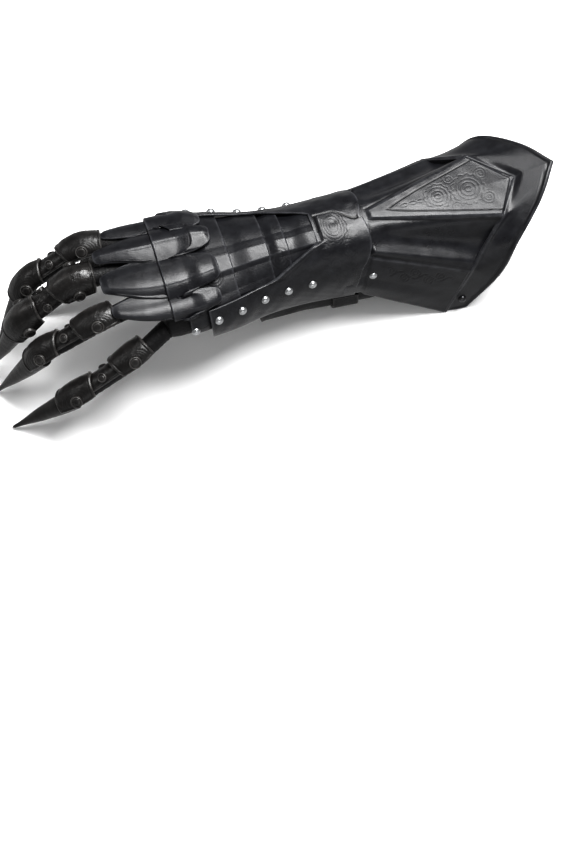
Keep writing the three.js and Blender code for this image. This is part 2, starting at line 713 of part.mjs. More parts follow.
function collarAngle(v) {
  const t = Math.abs(v);
  const { kite, panel, edge } = COLLAR_ANGLES;
  let angle = mix(panel, edge, (t - CUFF_PANEL) / (1 - CUFF_PANEL));
  if (t < CUFF_PANEL) angle = mix(kite, panel, (t - CUFF_KITE) / (CUFF_PANEL - CUFF_KITE));
  if (t < CUFF_KITE) angle = mix(0, kite, t / CUFF_KITE);
  return angle * Math.sign(v);
}

const COLLAR_SHARE = 0.12;      // u where the collar ends and the panels begin
const BAND_SHARE = 0.8;         // u where the panels end and the band begins
function cuffSurface(u, v) {
  const angle = collarAngle(v);
  const joint = jointLine(angle);
  if (u < COLLAR_SHARE) {
    return bodyPoint(joint + mix(COLLAR_BACK, COLLAR_FRONT, u / COLLAR_SHARE), angle, LIFTED);
  }
  const start = bodyPoint(joint + COLLAR_FRONT, angle, LIFTED);
  const inner = foldLine(v);
  if (u < BAND_SHARE) {
    const t = (u - COLLAR_SHARE) / (BAND_SHARE - COLLAR_SHARE);
    const across = (Math.abs(v) - CUFF_KITE) / (CUFF_PANEL - CUFF_KITE);
    const dished = across > 0 && across < 1 ? Math.sin(Math.PI * across) : 0;
    const point = start.lerp(inner, t);
    const dip = DISH * dished * Math.sin(Math.PI * Math.min(t * 1.15, 1) / 2);
    return point.add(new THREE.Vector3(0, -Math.sign(v) * dip * 0.6, -dip * 0.8));
  }
  return inner.lerp(rimLine(v), (u - BAND_SHARE) / (1 - BAND_SHARE));
}

function cuffPlate() {
  const half = [
    ...evenly(0, CUFF_KITE, 2).slice(1),
    ...evenly(CUFF_KITE, CUFF_PANEL, 5).slice(1),
    ...evenly(CUFF_PANEL, 1, 3).slice(1),
  ];
  const columns = [...half.map((v) => -v).reverse(), 0, ...half];
  const rows = [0, COLLAR_SHARE, ...evenly(COLLAR_SHARE, BAND_SHARE, 4).slice(1), 0.9, 1];
  return wallUnder(cuffSurface, rows, columns, CUFF_WALL);
}

// The plate under the wrist and forearm, and the strap with its buckle round it
const UNDER_FROM = -0.56;
const UNDER_TO = 0.29;
const UNDER_EDGE = 7 * FOLD_STEP;
const UNDER_BULGE = 8;          // how far its lower corners stand off the arm
const BULGE_SHARE = 0.8;        // the rest, under the middle of the arm, is flat
function underSurface(from, to, off) {
  return (u, v) => {
    const share = (180 - Math.abs(v - 180) - STRIP_REACH) / (180 - STRIP_REACH);
    const bulge = UNDER_BULGE * Math.sin(Math.PI * THREE.MathUtils.clamp(share / BULGE_SHARE, 0, 1)) ** 2;
    return bodyPoint(mix(from, to, u), v, off + bulge);
  };
}

const STRAP_TUCK = 3;           // angle between the strap's ends and the forearm plate's edges
const STRAP_ENDS = [STRIP_REACH + STRAP_TUCK, 360 - STRIP_REACH - STRAP_TUCK];
const UNDER_ANGLES = evenly(STRIP_REACH, 360 - STRIP_REACH, 8).slice(1, -1);
const UNDERSIDE_ANGLES = [
  UNDER_EDGE, STRIP_REACH, STRAP_ENDS[0], ...UNDER_ANGLES, STRAP_ENDS[1], 360 - STRIP_REACH, 360 - UNDER_EDGE,
];
function undersidePlate() {
  const surface = underSurface(UNDER_FROM * HAND_REACH, UNDER_TO * HAND_REACH, LIFTED);
  return wallUnder(surface, evenly(0, 1, 6), UNDERSIDE_ANGLES, PLATE_WALL);
}

const STRAP_AT = -22;
const STRAP_OUTER = LIFTED + LAYER_GAP + STRAP_WALL;
function strap() {
  const from = STRAP_AT - STRAP_WIDTH / 2;
  const surface = underSurface(from, from + STRAP_WIDTH, STRAP_OUTER);
  return wallUnder(surface, [0, 0.5, 1], [STRAP_ENDS[0], ...UNDER_ANGLES, STRAP_ENDS[1]], STRAP_WALL);
}

function buckle() {
  const bars = [];
  const place = bodyPoint(STRAP_AT, 180, STRAP_OUTER);
  const out = bodyNormal(STRAP_AT, 180, STRAP_OUTER);
  const width = STRAP_WIDTH + 3 * BUCKLE_BAR;
  const height = STRAP_WIDTH * 0.8;
  const bar = (x, y, w, h) => {
    const box = new THREE.BoxGeometry(w, h, BUCKLE_BAR);
    box.translate(x, y, BUCKLE_BAR / 2);
    bars.push(box);
  };
  bar(0, (height - BUCKLE_BAR) / 2, width, BUCKLE_BAR);
  bar(0, -(height - BUCKLE_BAR) / 2, width, BUCKLE_BAR);
  bar((width - BUCKLE_BAR) / 2, 0, BUCKLE_BAR, height);
  bar(-(width - BUCKLE_BAR) / 2, 0, BUCKLE_BAR, height);
  const geometry = joined(bars);
  const lengthwise = new THREE.Vector3(1, 0, 0);
  const acrossStrap = new THREE.Vector3().crossVectors(out, lengthwise).normalize();
  const turn = new THREE.Matrix4().makeBasis(lengthwise, acrossStrap, out);
  geometry.applyMatrix4(turn);
  const seat = place.addScaledVector(out, LAYER_GAP);
  geometry.translate(seat.x, seat.y, seat.z);
  return geometry;
}

// Dome-headed rivets, each seated just clear of the leather that it holds
const RIVET_SIDES = 8;
const DOME_TURN = 40;           // where the dome is broken into two slopes
function rivet(place, out) {
  const turn = rad(DOME_TURN);
  const profile = [
    new THREE.Vector2(0, 0),
    new THREE.Vector2(RIVET_RADIUS, 0),
    new THREE.Vector2(RIVET_RADIUS * Math.cos(turn), RIVET_HEIGHT * Math.sin(turn)),
    new THREE.Vector2(0, RIVET_HEIGHT),
  ];
  const geometry = new THREE.LatheGeometry(profile, RIVET_SIDES);
  geometry.applyQuaternion(new THREE.Quaternion().setFromUnitVectors(new THREE.Vector3(0, 1, 0), out));
  const seat = place.clone().addScaledVector(out, RIVET_GAP);
  geometry.translate(seat.x, seat.y, seat.z);
  return geometry;
}

const STRIP_RIVETS = 5;
const FIRST_RIVET = 6;          // from the front end of its strip
const RIVET_ANGLE = 68;
const HAND_RIVET = { at: -0.9, angle: 84 };
const CUFF_RIVET = { u: 0.17, v: 0.82 };
const SNAP = { u: 0.88, v: 0.9 };

function bodyRivet(name, x, angle, level, look) {
  const place = bodyPoint(x, angle, level);
  addMesh(name, rivet(place, bodyNormal(x, angle, level)), look);
}

function cuffRivet(name, u, v, look) {
  addMesh(name, rivet(cuffSurface(u, v), normalAt(cuffSurface, u, v)), look);
}

// Assembly
addMesh('cuff_plate', cuffPlate(), BLACK);
addMesh('forearm_plate', forearmPlate(), BLACK);
addMesh('underside_plate', undersidePlate(), SOFT_BLACK);
addMesh('closing_strap', strap(), SOFT_BLACK);
addMesh('strap_buckle', buckle(), DARK_STEEL);
LAMES.forEach((lame, index) => addMesh(lame.name, wristLame(lame, index), BLACK));
addMesh('hand_plate', handPlate(), BLACK);
addMesh('knuckle_comb_front', frontComb(), BLACK);
addMesh('knuckle_comb_back', backComb(), BLACK);

const bones = FINGERS.map((finger) => fingerPath(finger, FINGER_ROOT));
const thumbBone = fingerPath(THUMB, THUMB_ROOT);
addMesh('glove_hand', gloveHand(bones, thumbBone), SOFT_BLACK);
FINGERS.forEach((finger, i) => {
  addMesh(`${finger.name}_sleeve`, gloveFinger(bones[i]), SOFT_BLACK);
  addMesh(`${finger.name}_knuckle_cap`, knuckleCap(bones[i]), TOOLED);
  addMesh(`${finger.name}_middle_plate`, middlePlate(bones[i]), TOOLED);
  addMesh(`${finger.name}_tip_cap`, tipCap(bones[i]), TOOLED);
  addMesh(`${finger.name}_claw`, claw(bones[i]), TOOLED);
});
addMesh('thumb_sleeve', gloveFinger(thumbBone), SOFT_BLACK);
addMesh('thumb_plate', middlePlate(thumbBone), TOOLED);
addMesh('thumb_tip_cap', tipCap(thumbBone), TOOLED);
addMesh('thumb_claw', claw(thumbBone), TOOLED);

for (const [side, sign] of [['near', -1], ['far', 1]]) {
  for (let i = 0; i < STRIP_RIVETS; i += 1) {
    const x = STRIP_FROM * HAND_REACH + FIRST_RIVET + i * RIVET_PITCH;
    bodyRivet(`wrist_rivet_${side}_${i + 1}`, x, sign * RIVET_ANGLE, OUTER, STEEL);
  }
  bodyRivet(`hand_rivet_${side}`, HAND_RIVET.at * HAND_REACH, sign * HAND_RIVET.angle, TUCKED, STEEL);
  cuffRivet(`cuff_rivet_${side}`, CUFF_RIVET.u, sign * CUFF_RIVET.v, STEEL);
  cuffRivet(`cuff_snap_${side}`, SNAP.u, sign * SNAP.v, DARK_STEEL);
}

// The origin is under the middle of the gauntlet, on the surface that it lies on
group.updateMatrixWorld(true);
const box = new THREE.Box3().setFromObject(group);
const middle = box.getCenter(new THREE.Vector3());
group.position.set(-middle.x, -middle.y, -box.min.z);

export default group;
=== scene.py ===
"""A left-hand armoured gauntlet in black leather, lying on a pale surface."""
import math

import bpy
import numpy as np
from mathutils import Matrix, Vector


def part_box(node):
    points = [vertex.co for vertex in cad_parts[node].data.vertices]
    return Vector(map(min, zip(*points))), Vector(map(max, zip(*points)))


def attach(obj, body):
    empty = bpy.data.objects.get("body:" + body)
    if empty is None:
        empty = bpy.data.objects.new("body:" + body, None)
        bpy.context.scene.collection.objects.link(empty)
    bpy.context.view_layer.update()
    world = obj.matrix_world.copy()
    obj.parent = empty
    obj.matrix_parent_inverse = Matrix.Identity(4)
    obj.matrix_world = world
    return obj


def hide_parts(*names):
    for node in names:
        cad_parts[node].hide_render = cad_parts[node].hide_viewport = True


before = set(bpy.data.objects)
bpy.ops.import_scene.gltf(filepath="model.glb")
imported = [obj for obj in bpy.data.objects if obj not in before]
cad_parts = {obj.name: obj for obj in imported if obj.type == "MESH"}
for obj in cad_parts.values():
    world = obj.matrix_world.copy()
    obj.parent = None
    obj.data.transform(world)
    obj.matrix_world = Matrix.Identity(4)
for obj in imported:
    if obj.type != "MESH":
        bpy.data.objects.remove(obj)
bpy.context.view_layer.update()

# Sizes of the gauntlet, in millimetres, in its own drawing frame: x = 0 is where the forearm
# plate meets the cuff, z = 0 the surface, +X from the fingers to the cuff, +Y the thumb side
MM = 0.001
HAND_REACH = 168
HAND_WIDTH = 90
KNUCKLE_HEIGHT = 103
PLATE_WALL = 1.8
CUFF_WALL = 2.4
GLOVE_WALL = 1.4
LAYER_GAP = 0.5
FINGER_GAP = 0.9
LAP = 6
CUFF_LENGTH = 163
CUFF_SPREAD = 124
CUFF_TIP_HEIGHT = 100
RIM_WIDTH = 34
FINGER_LENGTH = 208
FINGER_RADIUS = 8.2
CAP_WALL = 1.6
CLAW_TIP_RADIUS = 1.2
DISC_RADIUS = 5
RIVET_RADIUS = 3.5
RIVET_HEIGHT = 2.4
RIVET_PITCH = 20.3
RIVET_GAP = 0.4
STRAP_WIDTH = 21
STRAP_WALL = 2
BUCKLE_BAR = 2

# Levels of the shingled plates outside the glove
TUCKED = LAYER_GAP + PLATE_WALL
LIFTED = TUCKED + LAYER_GAP + PLATE_WALL
OUTER = LIFTED + LAYER_GAP + PLATE_WALL


def mix(a, b, t):
    return a + (b - a) * t


def smooth(x, low, high):
    t = np.clip((np.asarray(x, float) - low) / (high - low), 0, 1)
    return t * t * (3 - 2 * t)


def rad(degrees):
    return np.radians(degrees)


def unit(v):
    return v / np.maximum(np.linalg.norm(v, axis=-1, keepdims=True), 1e-12)


def stack(x, y, z):
    return np.stack(np.broadcast_arrays(x, y, z), axis=-1).astype(float)


def table(columns, *rows):
    """A table as one array for each named column."""
    return dict(zip(columns.split(), np.array(rows, float).T))


def straight(rows, column, at):
    return np.interp(at, rows["at"], rows[column])


def rounded(rows, column, at):
    """Smooth value of one column of a table whose rows are ordered by 'at'."""
    ats, values = rows["at"], rows[column]
    slopes = np.gradient(values, ats)
    slopes[1:-1] = (values[2:] - values[:-2]) / (ats[2:] - ats[:-2])
    at = np.clip(np.asarray(at, float), ats[0], ats[-1])
    i = np.clip(np.searchsorted(ats, at, side="right") - 1, 0, len(ats) - 2)
    span = ats[i + 1] - ats[i]
    t = (at - ats[i]) / span
    bend0 = slopes[i] * span
    bend1 = slopes[i + 1] * span
    rise = values[i + 1] - values[i]
    return values[i] + bend0 * t + (3 * rise - 2 * bend0 - bend1) * t**2 + (bend0 + bend1 - 2 * rise) * t**3


# The gloved hand and forearm that every plate follows: 'at' is a share of HAND_REACH from
# the cuff joint, 'half' of HAND_WIDTH, and the heights of KNUCKLE_HEIGHT
BODY = table(
    "at half top side bottom",
    (-1.28, 0.535, 1.01, 0.81, 0.68),
    (-1.12, 0.54, 1.02, 0.8, 0.64),
    (-1.0, 0.53, 1.01, 0.78, 0.58),
    (-0.87, 0.525, 0.995, 0.75, 0.5),
    (-0.7, 0.475, 0.97, 0.69, 0.4),
    (-0.52, 0.39, 0.95, 0.62, 0.29),
    (-0.33, 0.355, 0.93, 0.56, 0.19),
    (-0.12, 0.37, 0.905, 0.5, 0.14),
    (0.08, 0.39, 0.88, 0.45, 0.13),
    (0.36, 0.37, 0.85, 0.41, 0.15),
)
BODY_ROUNDNESS = 2.3
KNUCKLE_SHIFT = -1.5           # how far the knuckles lie to the side of the forearm's middle


def body_point(x, angle, off):
    """A point 'off' outside the glove, at x and at an angle from the top, + to the thumb side."""
    x, angle, off = (a.astype(float) for a in np.broadcast_arrays(x, angle, off))
    at = x / HAND_REACH
    half = rounded(BODY, "half", at) * HAND_WIDTH
    top, side, bottom = (rounded(BODY, k, at) * KNUCKLE_HEIGHT for k in ("top", "side", "bottom"))
    s, c = np.sin(rad(angle)), np.cos(rad(angle))
    power = 2 / BODY_ROUNDNESS
    reach = np.where(c >= 0, top - side + off, side - bottom + off)
    y = (half + off) * np.sign(s) * np.abs(s) ** power
    z = side + reach * np.sign(c) * np.abs(c) ** power
    return stack(x, y - KNUCKLE_SHIFT * at, z)


def normals_of(surface, u, v, step=1e-3):
    along = surface(u + step, v) - surface(u - step, v)
    across = surface(u, v + step) - surface(u, v - step)
    return unit(np.cross(along, across))


def body_normal(x, angle, off):
    return normals_of(lambda u, v: body_point(x + u, angle + v, off), np.zeros(()), np.zeros(()))


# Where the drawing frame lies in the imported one
GLOVE_BACK = 0.44
glove_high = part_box("glove_hand")[1]
cuff_low, cuff_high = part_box("cuff_plate")
glove_rows = -HAND_REACH * np.linspace(GLOVE_BACK, 1, 7)
ORIGIN = np.array([
    glove_high.x / MM + GLOVE_BACK * HAND_REACH,
    (cuff_low.y + cuff_high.y) / 2 / MM,
    glove_high.z / MM - body_point(glove_rows, 0, 0)[:, 2].max(),
])


def in_frame(points):
    return (np.asarray(points, float) + ORIGIN) * MM


# Camera, floor and lights
IMAGE_WIDTH, IMAGE_HEIGHT = 570, 855
CAMERA_AZIMUTH = 17            # degrees from straight across the gauntlet to its finger end
CAMERA_ELEVATION = 64          # of the line of sight that meets the reference point
CAMERA_DISTANCE = 1500
PIXELS_PER_MM = 1.25           # at the reference point
REFERENCE_POINT = np.array([0, 0, 92])
REFERENCE_PIXEL = (359.5, 219)
SENSOR = 36
FLOOR_REACH = 6                # metres
SKY_FILL = 0.6                 # strength of the sky on matt surfaces
SKY_GLOW = 0.24                # as the leather mirrors it
GROUND_GLOW = 0.8              # of the ground under it, as the leather mirrors it
LIGHTS = [
    dict(name="key", place=(0.72, 0.42, 2.2), target=(0, 0, 0.05), size=(1.5, 0.8), power=128),
    dict(name="front", place=(-0.1, -1.9, 0.5), target=(0, 0, 0.05), size=(1.8, 0.8), power=7),
    dict(name="side", place=(-1.6, 0.5, 1.3), target=(-0.1, 0, 0.05), size=(0.7, 0.5), power=6),
]


def add_object(name, data):
    made = bpy.data.objects.new(name, data)
    bpy.context.scene.collection.objects.link(made)
    return made


def make_camera():
    focal = PIXELS_PER_MM * CAMERA_DISTANCE
    across = (REFERENCE_PIXEL[0] - IMAGE_WIDTH / 2) / focal
    upward = (IMAGE_HEIGHT / 2 - REFERENCE_PIXEL[1]) / focal
    pitch = math.radians(CAMERA_ELEVATION) + math.atan(upward)
    turn = math.radians(CAMERA_AZIMUTH)
    right = np.array([math.cos(turn), -math.sin(turn), 0])
    level = np.array([math.sin(turn), math.cos(turn), 0])
    forward = level * math.cos(pitch) - np.array([0, 0, math.sin(pitch)])
    up = np.cross(right, forward)
    place = REFERENCE_POINT - (forward + right * across + up * upward) * CAMERA_DISTANCE
    data = bpy.data.cameras.new("camera")
    data.sensor_fit = "VERTICAL"
    data.sensor_height = SENSOR
    data.lens = focal / IMAGE_HEIGHT * SENSOR
    data.clip_start = 0.01
    data.clip_end = 20
    camera = add_object("camera", data)
    camera.location = in_frame(place)
    camera.rotation_euler = Vector(forward).to_track_quat("-Z", "Y").to_euler()
    bpy.context.scene.camera = camera


def area_light(name, place, target, size, power):
    data = bpy.data.lights.new(name, "AREA")
    data.shape = "RECTANGLE"
    data.size, data.size_y = size
    data.energy = power
    light = add_object(name, data)
    light.location = place
    light.rotation_euler = (Vector(target) - Vector(place)).to_track_quat("-Z", "Y").to_euler()


def make_sky():
    """An even sky that fills shadows, seen in the leather as a dim one over lighter ground."""
    world = bpy.data.worlds.new("studio")
    world.use_nodes = True
    tree = world.node_tree
    tree.nodes["Background"].inputs["Color"].default_value = (1, 1, 1, 1)
    way = node(tree, "ShaderNodeSeparateXYZ")
    link(tree, node(tree, "ShaderNodeTexCoord").outputs["Generated"], way.inputs[0])
    mirrored = ramp(tree, way.outputs["Z"], -0.35, 0.1, GROUND_GLOW - SKY_FILL, SKY_GLOW - SKY_FILL)
    glossy = node(tree, "ShaderNodeLightPath").outputs["Is Glossy Ray"]
    strength = plus(tree, times(tree, glossy, mirrored), SKY_FILL)
    link(tree, strength, tree.nodes["Background"].inputs["Strength"])
    return world


def make_studio():
    """A white floor under a dim sky, with broad soft lights above and behind."""
    mesh = bpy.data.meshes.new("floor")
    corners = [(x * FLOOR_REACH, y * FLOOR_REACH, 0) for x, y in ((-1, -1), (1, -1), (1, 1), (-1, 1))]
    mesh.from_pydata(corners, [], [(0, 1, 2, 3)])
    material = bpy.data.materials.new("floor")
    material.use_nodes = True
    shader = material.node_tree.nodes["Principled BSDF"]
    shader.inputs["Base Color"].default_value = (0.9, 0.9, 0.9, 1)
    shader.inputs["Roughness"].default_value = 0.95
    shader.inputs["Specular IOR Level"].default_value = 0
    mesh.materials.append(material)
    floor = add_object("floor", mesh)
    floor.visible_glossy = False
    scene = bpy.context.scene
    scene.world = make_sky()
    scene.view_settings.view_transform = "Standard"
    scene.view_settings.look = "None"
    scene.view_settings.gamma = 0.8
    for light in LIGHTS:
        area_light(**light)


# Materials

def node(tree, kind, **settings):
    made = tree.nodes.new(kind)
    for key, value in settings.items():
        if key in made.inputs:
            made.inputs[key].default_value = value
        else:
            setattr(made, key, value)
    return made


def link(tree, source, target):
    tree.links.new(source, target)


def fill(tree, socket, value):
    """Sets a socket to a number or colour, or links it to another node's output."""
    if isinstance(value, (int, float)):
        socket.default_value = value
    elif isinstance(value, tuple):
        socket.default_value = (*value, 1)
    else:
        link(tree, value, socket)


def ramp(tree, source, low, high, low_value, high_value):
    limits = {"From Min": low, "From Max": high, "To Min": low_value, "To Max": high_value}
    made = node(tree, "ShaderNodeMapRange", **limits)
    link(tree, source, made.inputs["Value"])
    return made.outputs["Result"]


def math_node(tree, operation, first, second):
    made = node(tree, "ShaderNodeMath", operation=operation)
    fill(tree, made.inputs[0], first)
    fill(tree, made.inputs[1], second)
    return made.outputs[0]


def times(tree, first, second):
    return math_node(tree, "MULTIPLY", first, second)


def plus(tree, first, *others):
    for other in others:
        first = math_node(tree, "ADD", first, other)
    return first


def mix_colour(tree, share, first, second):
    made = node(tree, "ShaderNodeMix", data_type="RGBA")
    for socket, value in zip((made.inputs[0], made.inputs[6], made.inputs[7]), (share, first, second)):
        fill(tree, socket, value)
    return made.outputs[2]


def noise_texture(tree, place, scale, detail, roughness=0.5, output="Fac"):
    made = node(tree, "ShaderNodeTexNoise", Scale=scale, Detail=detail, Roughness=roughness)
    link(tree, place, made.inputs["Vector"])
    return made.outputs[output]


def add_bump(tree, shader, height, strength, distance):
    bump = node(tree, "ShaderNodeBump", Strength=strength, Distance=distance)
    link(tree, height, bump.inputs["Height"])
    link(tree, bump.outputs["Normal"], shader.inputs["Normal"])


def new_material(name):
    material = bpy.data.materials.new(name)
    material.use_nodes = True
    tree = material.node_tree
    return material, tree, tree.nodes["Principled BSDF"], node(tree, "ShaderNodeTexCoord").outputs["Object"]


def leather(name, look):
    """Dyed leather: pores, creases and mottling, a worn colour for rubbed edges and for painted highlights
    along ridges, dark tool lines.
    """
    material, tree, shader, place = new_material(name)
    mottle = noise_texture(tree, place, look["mottle"], 5, 0.55)
    cloud = noise_texture(tree, place, 18, 3, 0.55)
    fine = noise_texture(tree, place, 1900, 4, 0.7)
    shifted = node(tree, "ShaderNodeVectorMath", operation="MULTIPLY_ADD")
    link(tree, noise_texture(tree, place, look["grain"] * 0.3, 3, output="Color"), shifted.inputs[0])
    shifted.inputs[1].default_value = (0.6 / look["grain"],) * 3
    link(tree, place, shifted.inputs[2])
    pores = node(tree, "ShaderNodeTexVoronoi", feature="DISTANCE_TO_EDGE", Scale=look["grain"])
    link(tree, shifted.outputs[0], pores.inputs["Vector"])
    cells = ramp(tree, pores.outputs["Distance"], 0, 0.12, 0, 1)
    tool = node(tree, "ShaderNodeAttribute", attribute_name="tool").outputs["Fac"]
    wear_and_highlight = node(tree, "ShaderNodeAttribute", attribute_name="wear_and_highlight").outputs["Fac"]
    # The worn colour marks rubbed edges and painted highlights along ridges, patchy with the mottle
    rubbed_and_highlit = times(tree, wear_and_highlight, ramp(tree, mottle, 0.35, 0.62, 0.25, 1))
    base = mix_colour(tree, ramp(tree, mottle, 0.3, 0.7, 0, 1), look["dark"], look["light"])
    base = mix_colour(tree, ramp(tree, cells, 0, 1, 0.35, 0), base, look["dark"])
    base = mix_colour(tree, times(tree, tool, look["tool_depth"]), base, look["tool"])
    base = mix_colour(tree, rubbed_and_highlit, base, look["worn_and_highlight"])
    link(tree, base, shader.inputs["Base Color"])
    clouded = ramp(tree, cloud, 0.35, 0.65, look["rough"] - 0.05, look["rough"] + 0.07)
    mottled = ramp(tree, mottle, 0.3, 0.7, -0.04, 0.05)
    gloss = plus(tree, clouded, mottled, times(tree, tool, 0.12), times(tree, rubbed_and_highlit, -0.06))
    link(tree, gloss, shader.inputs["Roughness"])
    shader.inputs["Specular IOR Level"].default_value = look["specular"]
    shader.inputs["Coat Weight"].default_value = look["coat"]
    shader.inputs["Coat Roughness"].default_value = look["coat_rough"]
    height = plus(tree, times(tree, cells, look["pore_depth"]), times(tree, mottle, look["waviness"]),
                  times(tree, fine, 0.02))
    add_bump(tree, shader, height, 1, 0.001)
    return material


def steel(name, colour, rough):
    """Polished metal with fine scratches and a little tarnish."""
    material, tree, shader, place = new_material(name)
    tarnish = noise_texture(tree, place, 420, 6)
    dull = tuple(c * 0.6 for c in colour)
    base = mix_colour(tree, ramp(tree, tarnish, 0.4, 0.75, 0, 1), colour, dull)
    link(tree, base, shader.inputs["Base Color"])
    shader.inputs["Metallic"].default_value = 1
    link(tree, ramp(tree, tarnish, 0.3, 0.7, rough - 0.06, rough + 0.12), shader.inputs["Roughness"])
    add_bump(tree, shader, noise_texture(tree, place, 2600, 3), 0.4, 0.00005)
    return material


# Each leather's worn colour serves rubbed edges and painted highlights along ridges
LOOKS = {
    "black_leather": dict(
        dark=(0.006, 0.006, 0.0075), light=(0.013, 0.0135, 0.016), worn_and_highlight=(0.05, 0.051, 0.056),
        tool=(0.003, 0.003, 0.0035), tool_depth=0.8, mottle=130, grain=620, pore_depth=0.035,
        waviness=0.07, rough=0.34, specular=0.3, coat=0.1, coat_rough=0.2,
    ),
    "tooled_leather": dict(
        dark=(0.0045, 0.0042, 0.0042), light=(0.011, 0.0098, 0.0094), worn_and_highlight=(0.06, 0.057, 0.055),
        tool=(0.003, 0.0027, 0.0027), tool_depth=0.8, mottle=170, grain=560, pore_depth=0.04,
        waviness=0.09, rough=0.33, specular=0.44, coat=0.05, coat_rough=0.3,
    ),
    "soft_leather": dict(
        dark=(0.004, 0.004, 0.0045), light=(0.009, 0.0085, 0.009), worn_and_highlight=(0.03, 0.029, 0.029),
        tool=(0.003, 0.003, 0.003), tool_depth=0.5, mottle=110, grain=420, pore_depth=0.12,
        waviness=0.5, rough=0.52, specular=0.2, coat=0.0, coat_rough=0.3,
    ),
}
MATERIALS = {name: leather(name, look) for name, look in LOOKS.items()}
MATERIALS["polished_steel"] = steel("polished_steel", (0.62, 0.63, 0.64), 0.34)
MATERIALS["dark_steel"] = steel("dark_steel", (0.1, 0.1, 0.105), 0.34)


# Meshes

def make_piece(name, points, faces, slot, nodes, marks=None, crease=48):
    """A mesh of the gauntlet. faces is a list of index arrays with a row for each face."""
    mesh = bpy.data.meshes.new(name)
    mesh.from_pydata(in_frame(points).tolist(), [], [face for block in faces for face in block.tolist()])
    mesh.validate()
    for key, values in (marks or {}).items():
        attribute = mesh.attributes.new(key, "FLOAT", "POINT")
        attribute.data.foreach_set("value", np.asarray(values, np.float32).ravel())
    mesh.shade_smooth()
    mesh.set_sharp_from_angle(angle=math.radians(crease))
    mesh.materials.append(MATERIALS[slot])
    piece = add_object(name, mesh)
    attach(piece, "root")
    if nodes:
        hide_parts(*nodes)


def spaced(places, steps):
    """Grid lines from the first place to the last, with so many steps between each two."""
    runs = [np.linspace(a, b, n + 1)[:-1] for a, b, n in zip(places, places[1:], steps)]
    return np.concatenate([*runs, places[-1:]])


def border_loops(n, m, closed):
    """Rows and columns round each free edge, in the order that faces the rim outwards."""
    if closed:
        return [[(0, j) for j in range(m)], [(n - 1, j) for j in reversed(range(m))]]
    loop = [(0, j) for j in range(m)]
    loop += [(i, m - 1) for i in range(1, n)]
    loop += [(n - 1, j) for j in reversed(range(m - 1))]
    loop += [(i, 0) for i in reversed(range(1, n - 1))]
    return [loop]


INNER_STRIDE = 4               # grid lines of a wall's outer face to each one of its inner face


def inner_faces(index, closed):
    """Wide faces of a wall's inner side, which keep each grid point of its free edges."""
    n, m = index.shape
    last = m if closed else m - 1
    rows = [*range(0, n - 1, INNER_STRIDE), n - 1]
    cols = [*range(0, last, INNER_STRIDE), last]
    faces = []
    for top, foot in zip(rows, rows[1:]):
        for left, right in zip(cols, cols[1:]):
            ring = [(top, j) for j in (range(left, right) if top == 0 else [left])]
            ring += [(i, right) for i in (range(top, foot) if right == last and not closed else [top])]
            ring += [(foot, j) for j in (range(right, left, -1) if foot == n - 1 else [right])]
            ring += [(i, left) for i in (range(foot, top, -1) if left == 0 and not closed else [foot])]
            faces.append(np.array([[index[i, j % m] for i, j in ring]]))
    return faces


def border_distance(p, closed):
    """Distance of each grid point from the nearest free edge, along the grid lines."""
    def ends(axis):
        steps = np.linalg.norm(np.diff(p, axis=axis), axis=-1)
        pad = [(0, 0), (0, 0)]
        pad[axis] = (1, 0)
        run = np.cumsum(np.pad(steps, pad), axis=axis)
        return np.minimum(run, run.take([-1], axis=axis) - run)
    return ends(0) if closed else np.minimum(ends(0), ends(1))


RIM_TURNS = (45, 90, 135)      # rounding of a cut edge, from the outer face to the inner one
RIM_FULLNESS = 0.55
RIM_WEAR = 0.8
TOOL_DEPTH = 0.3


def nothing(u, v, p, rim):
    return np.zeros(u.shape)


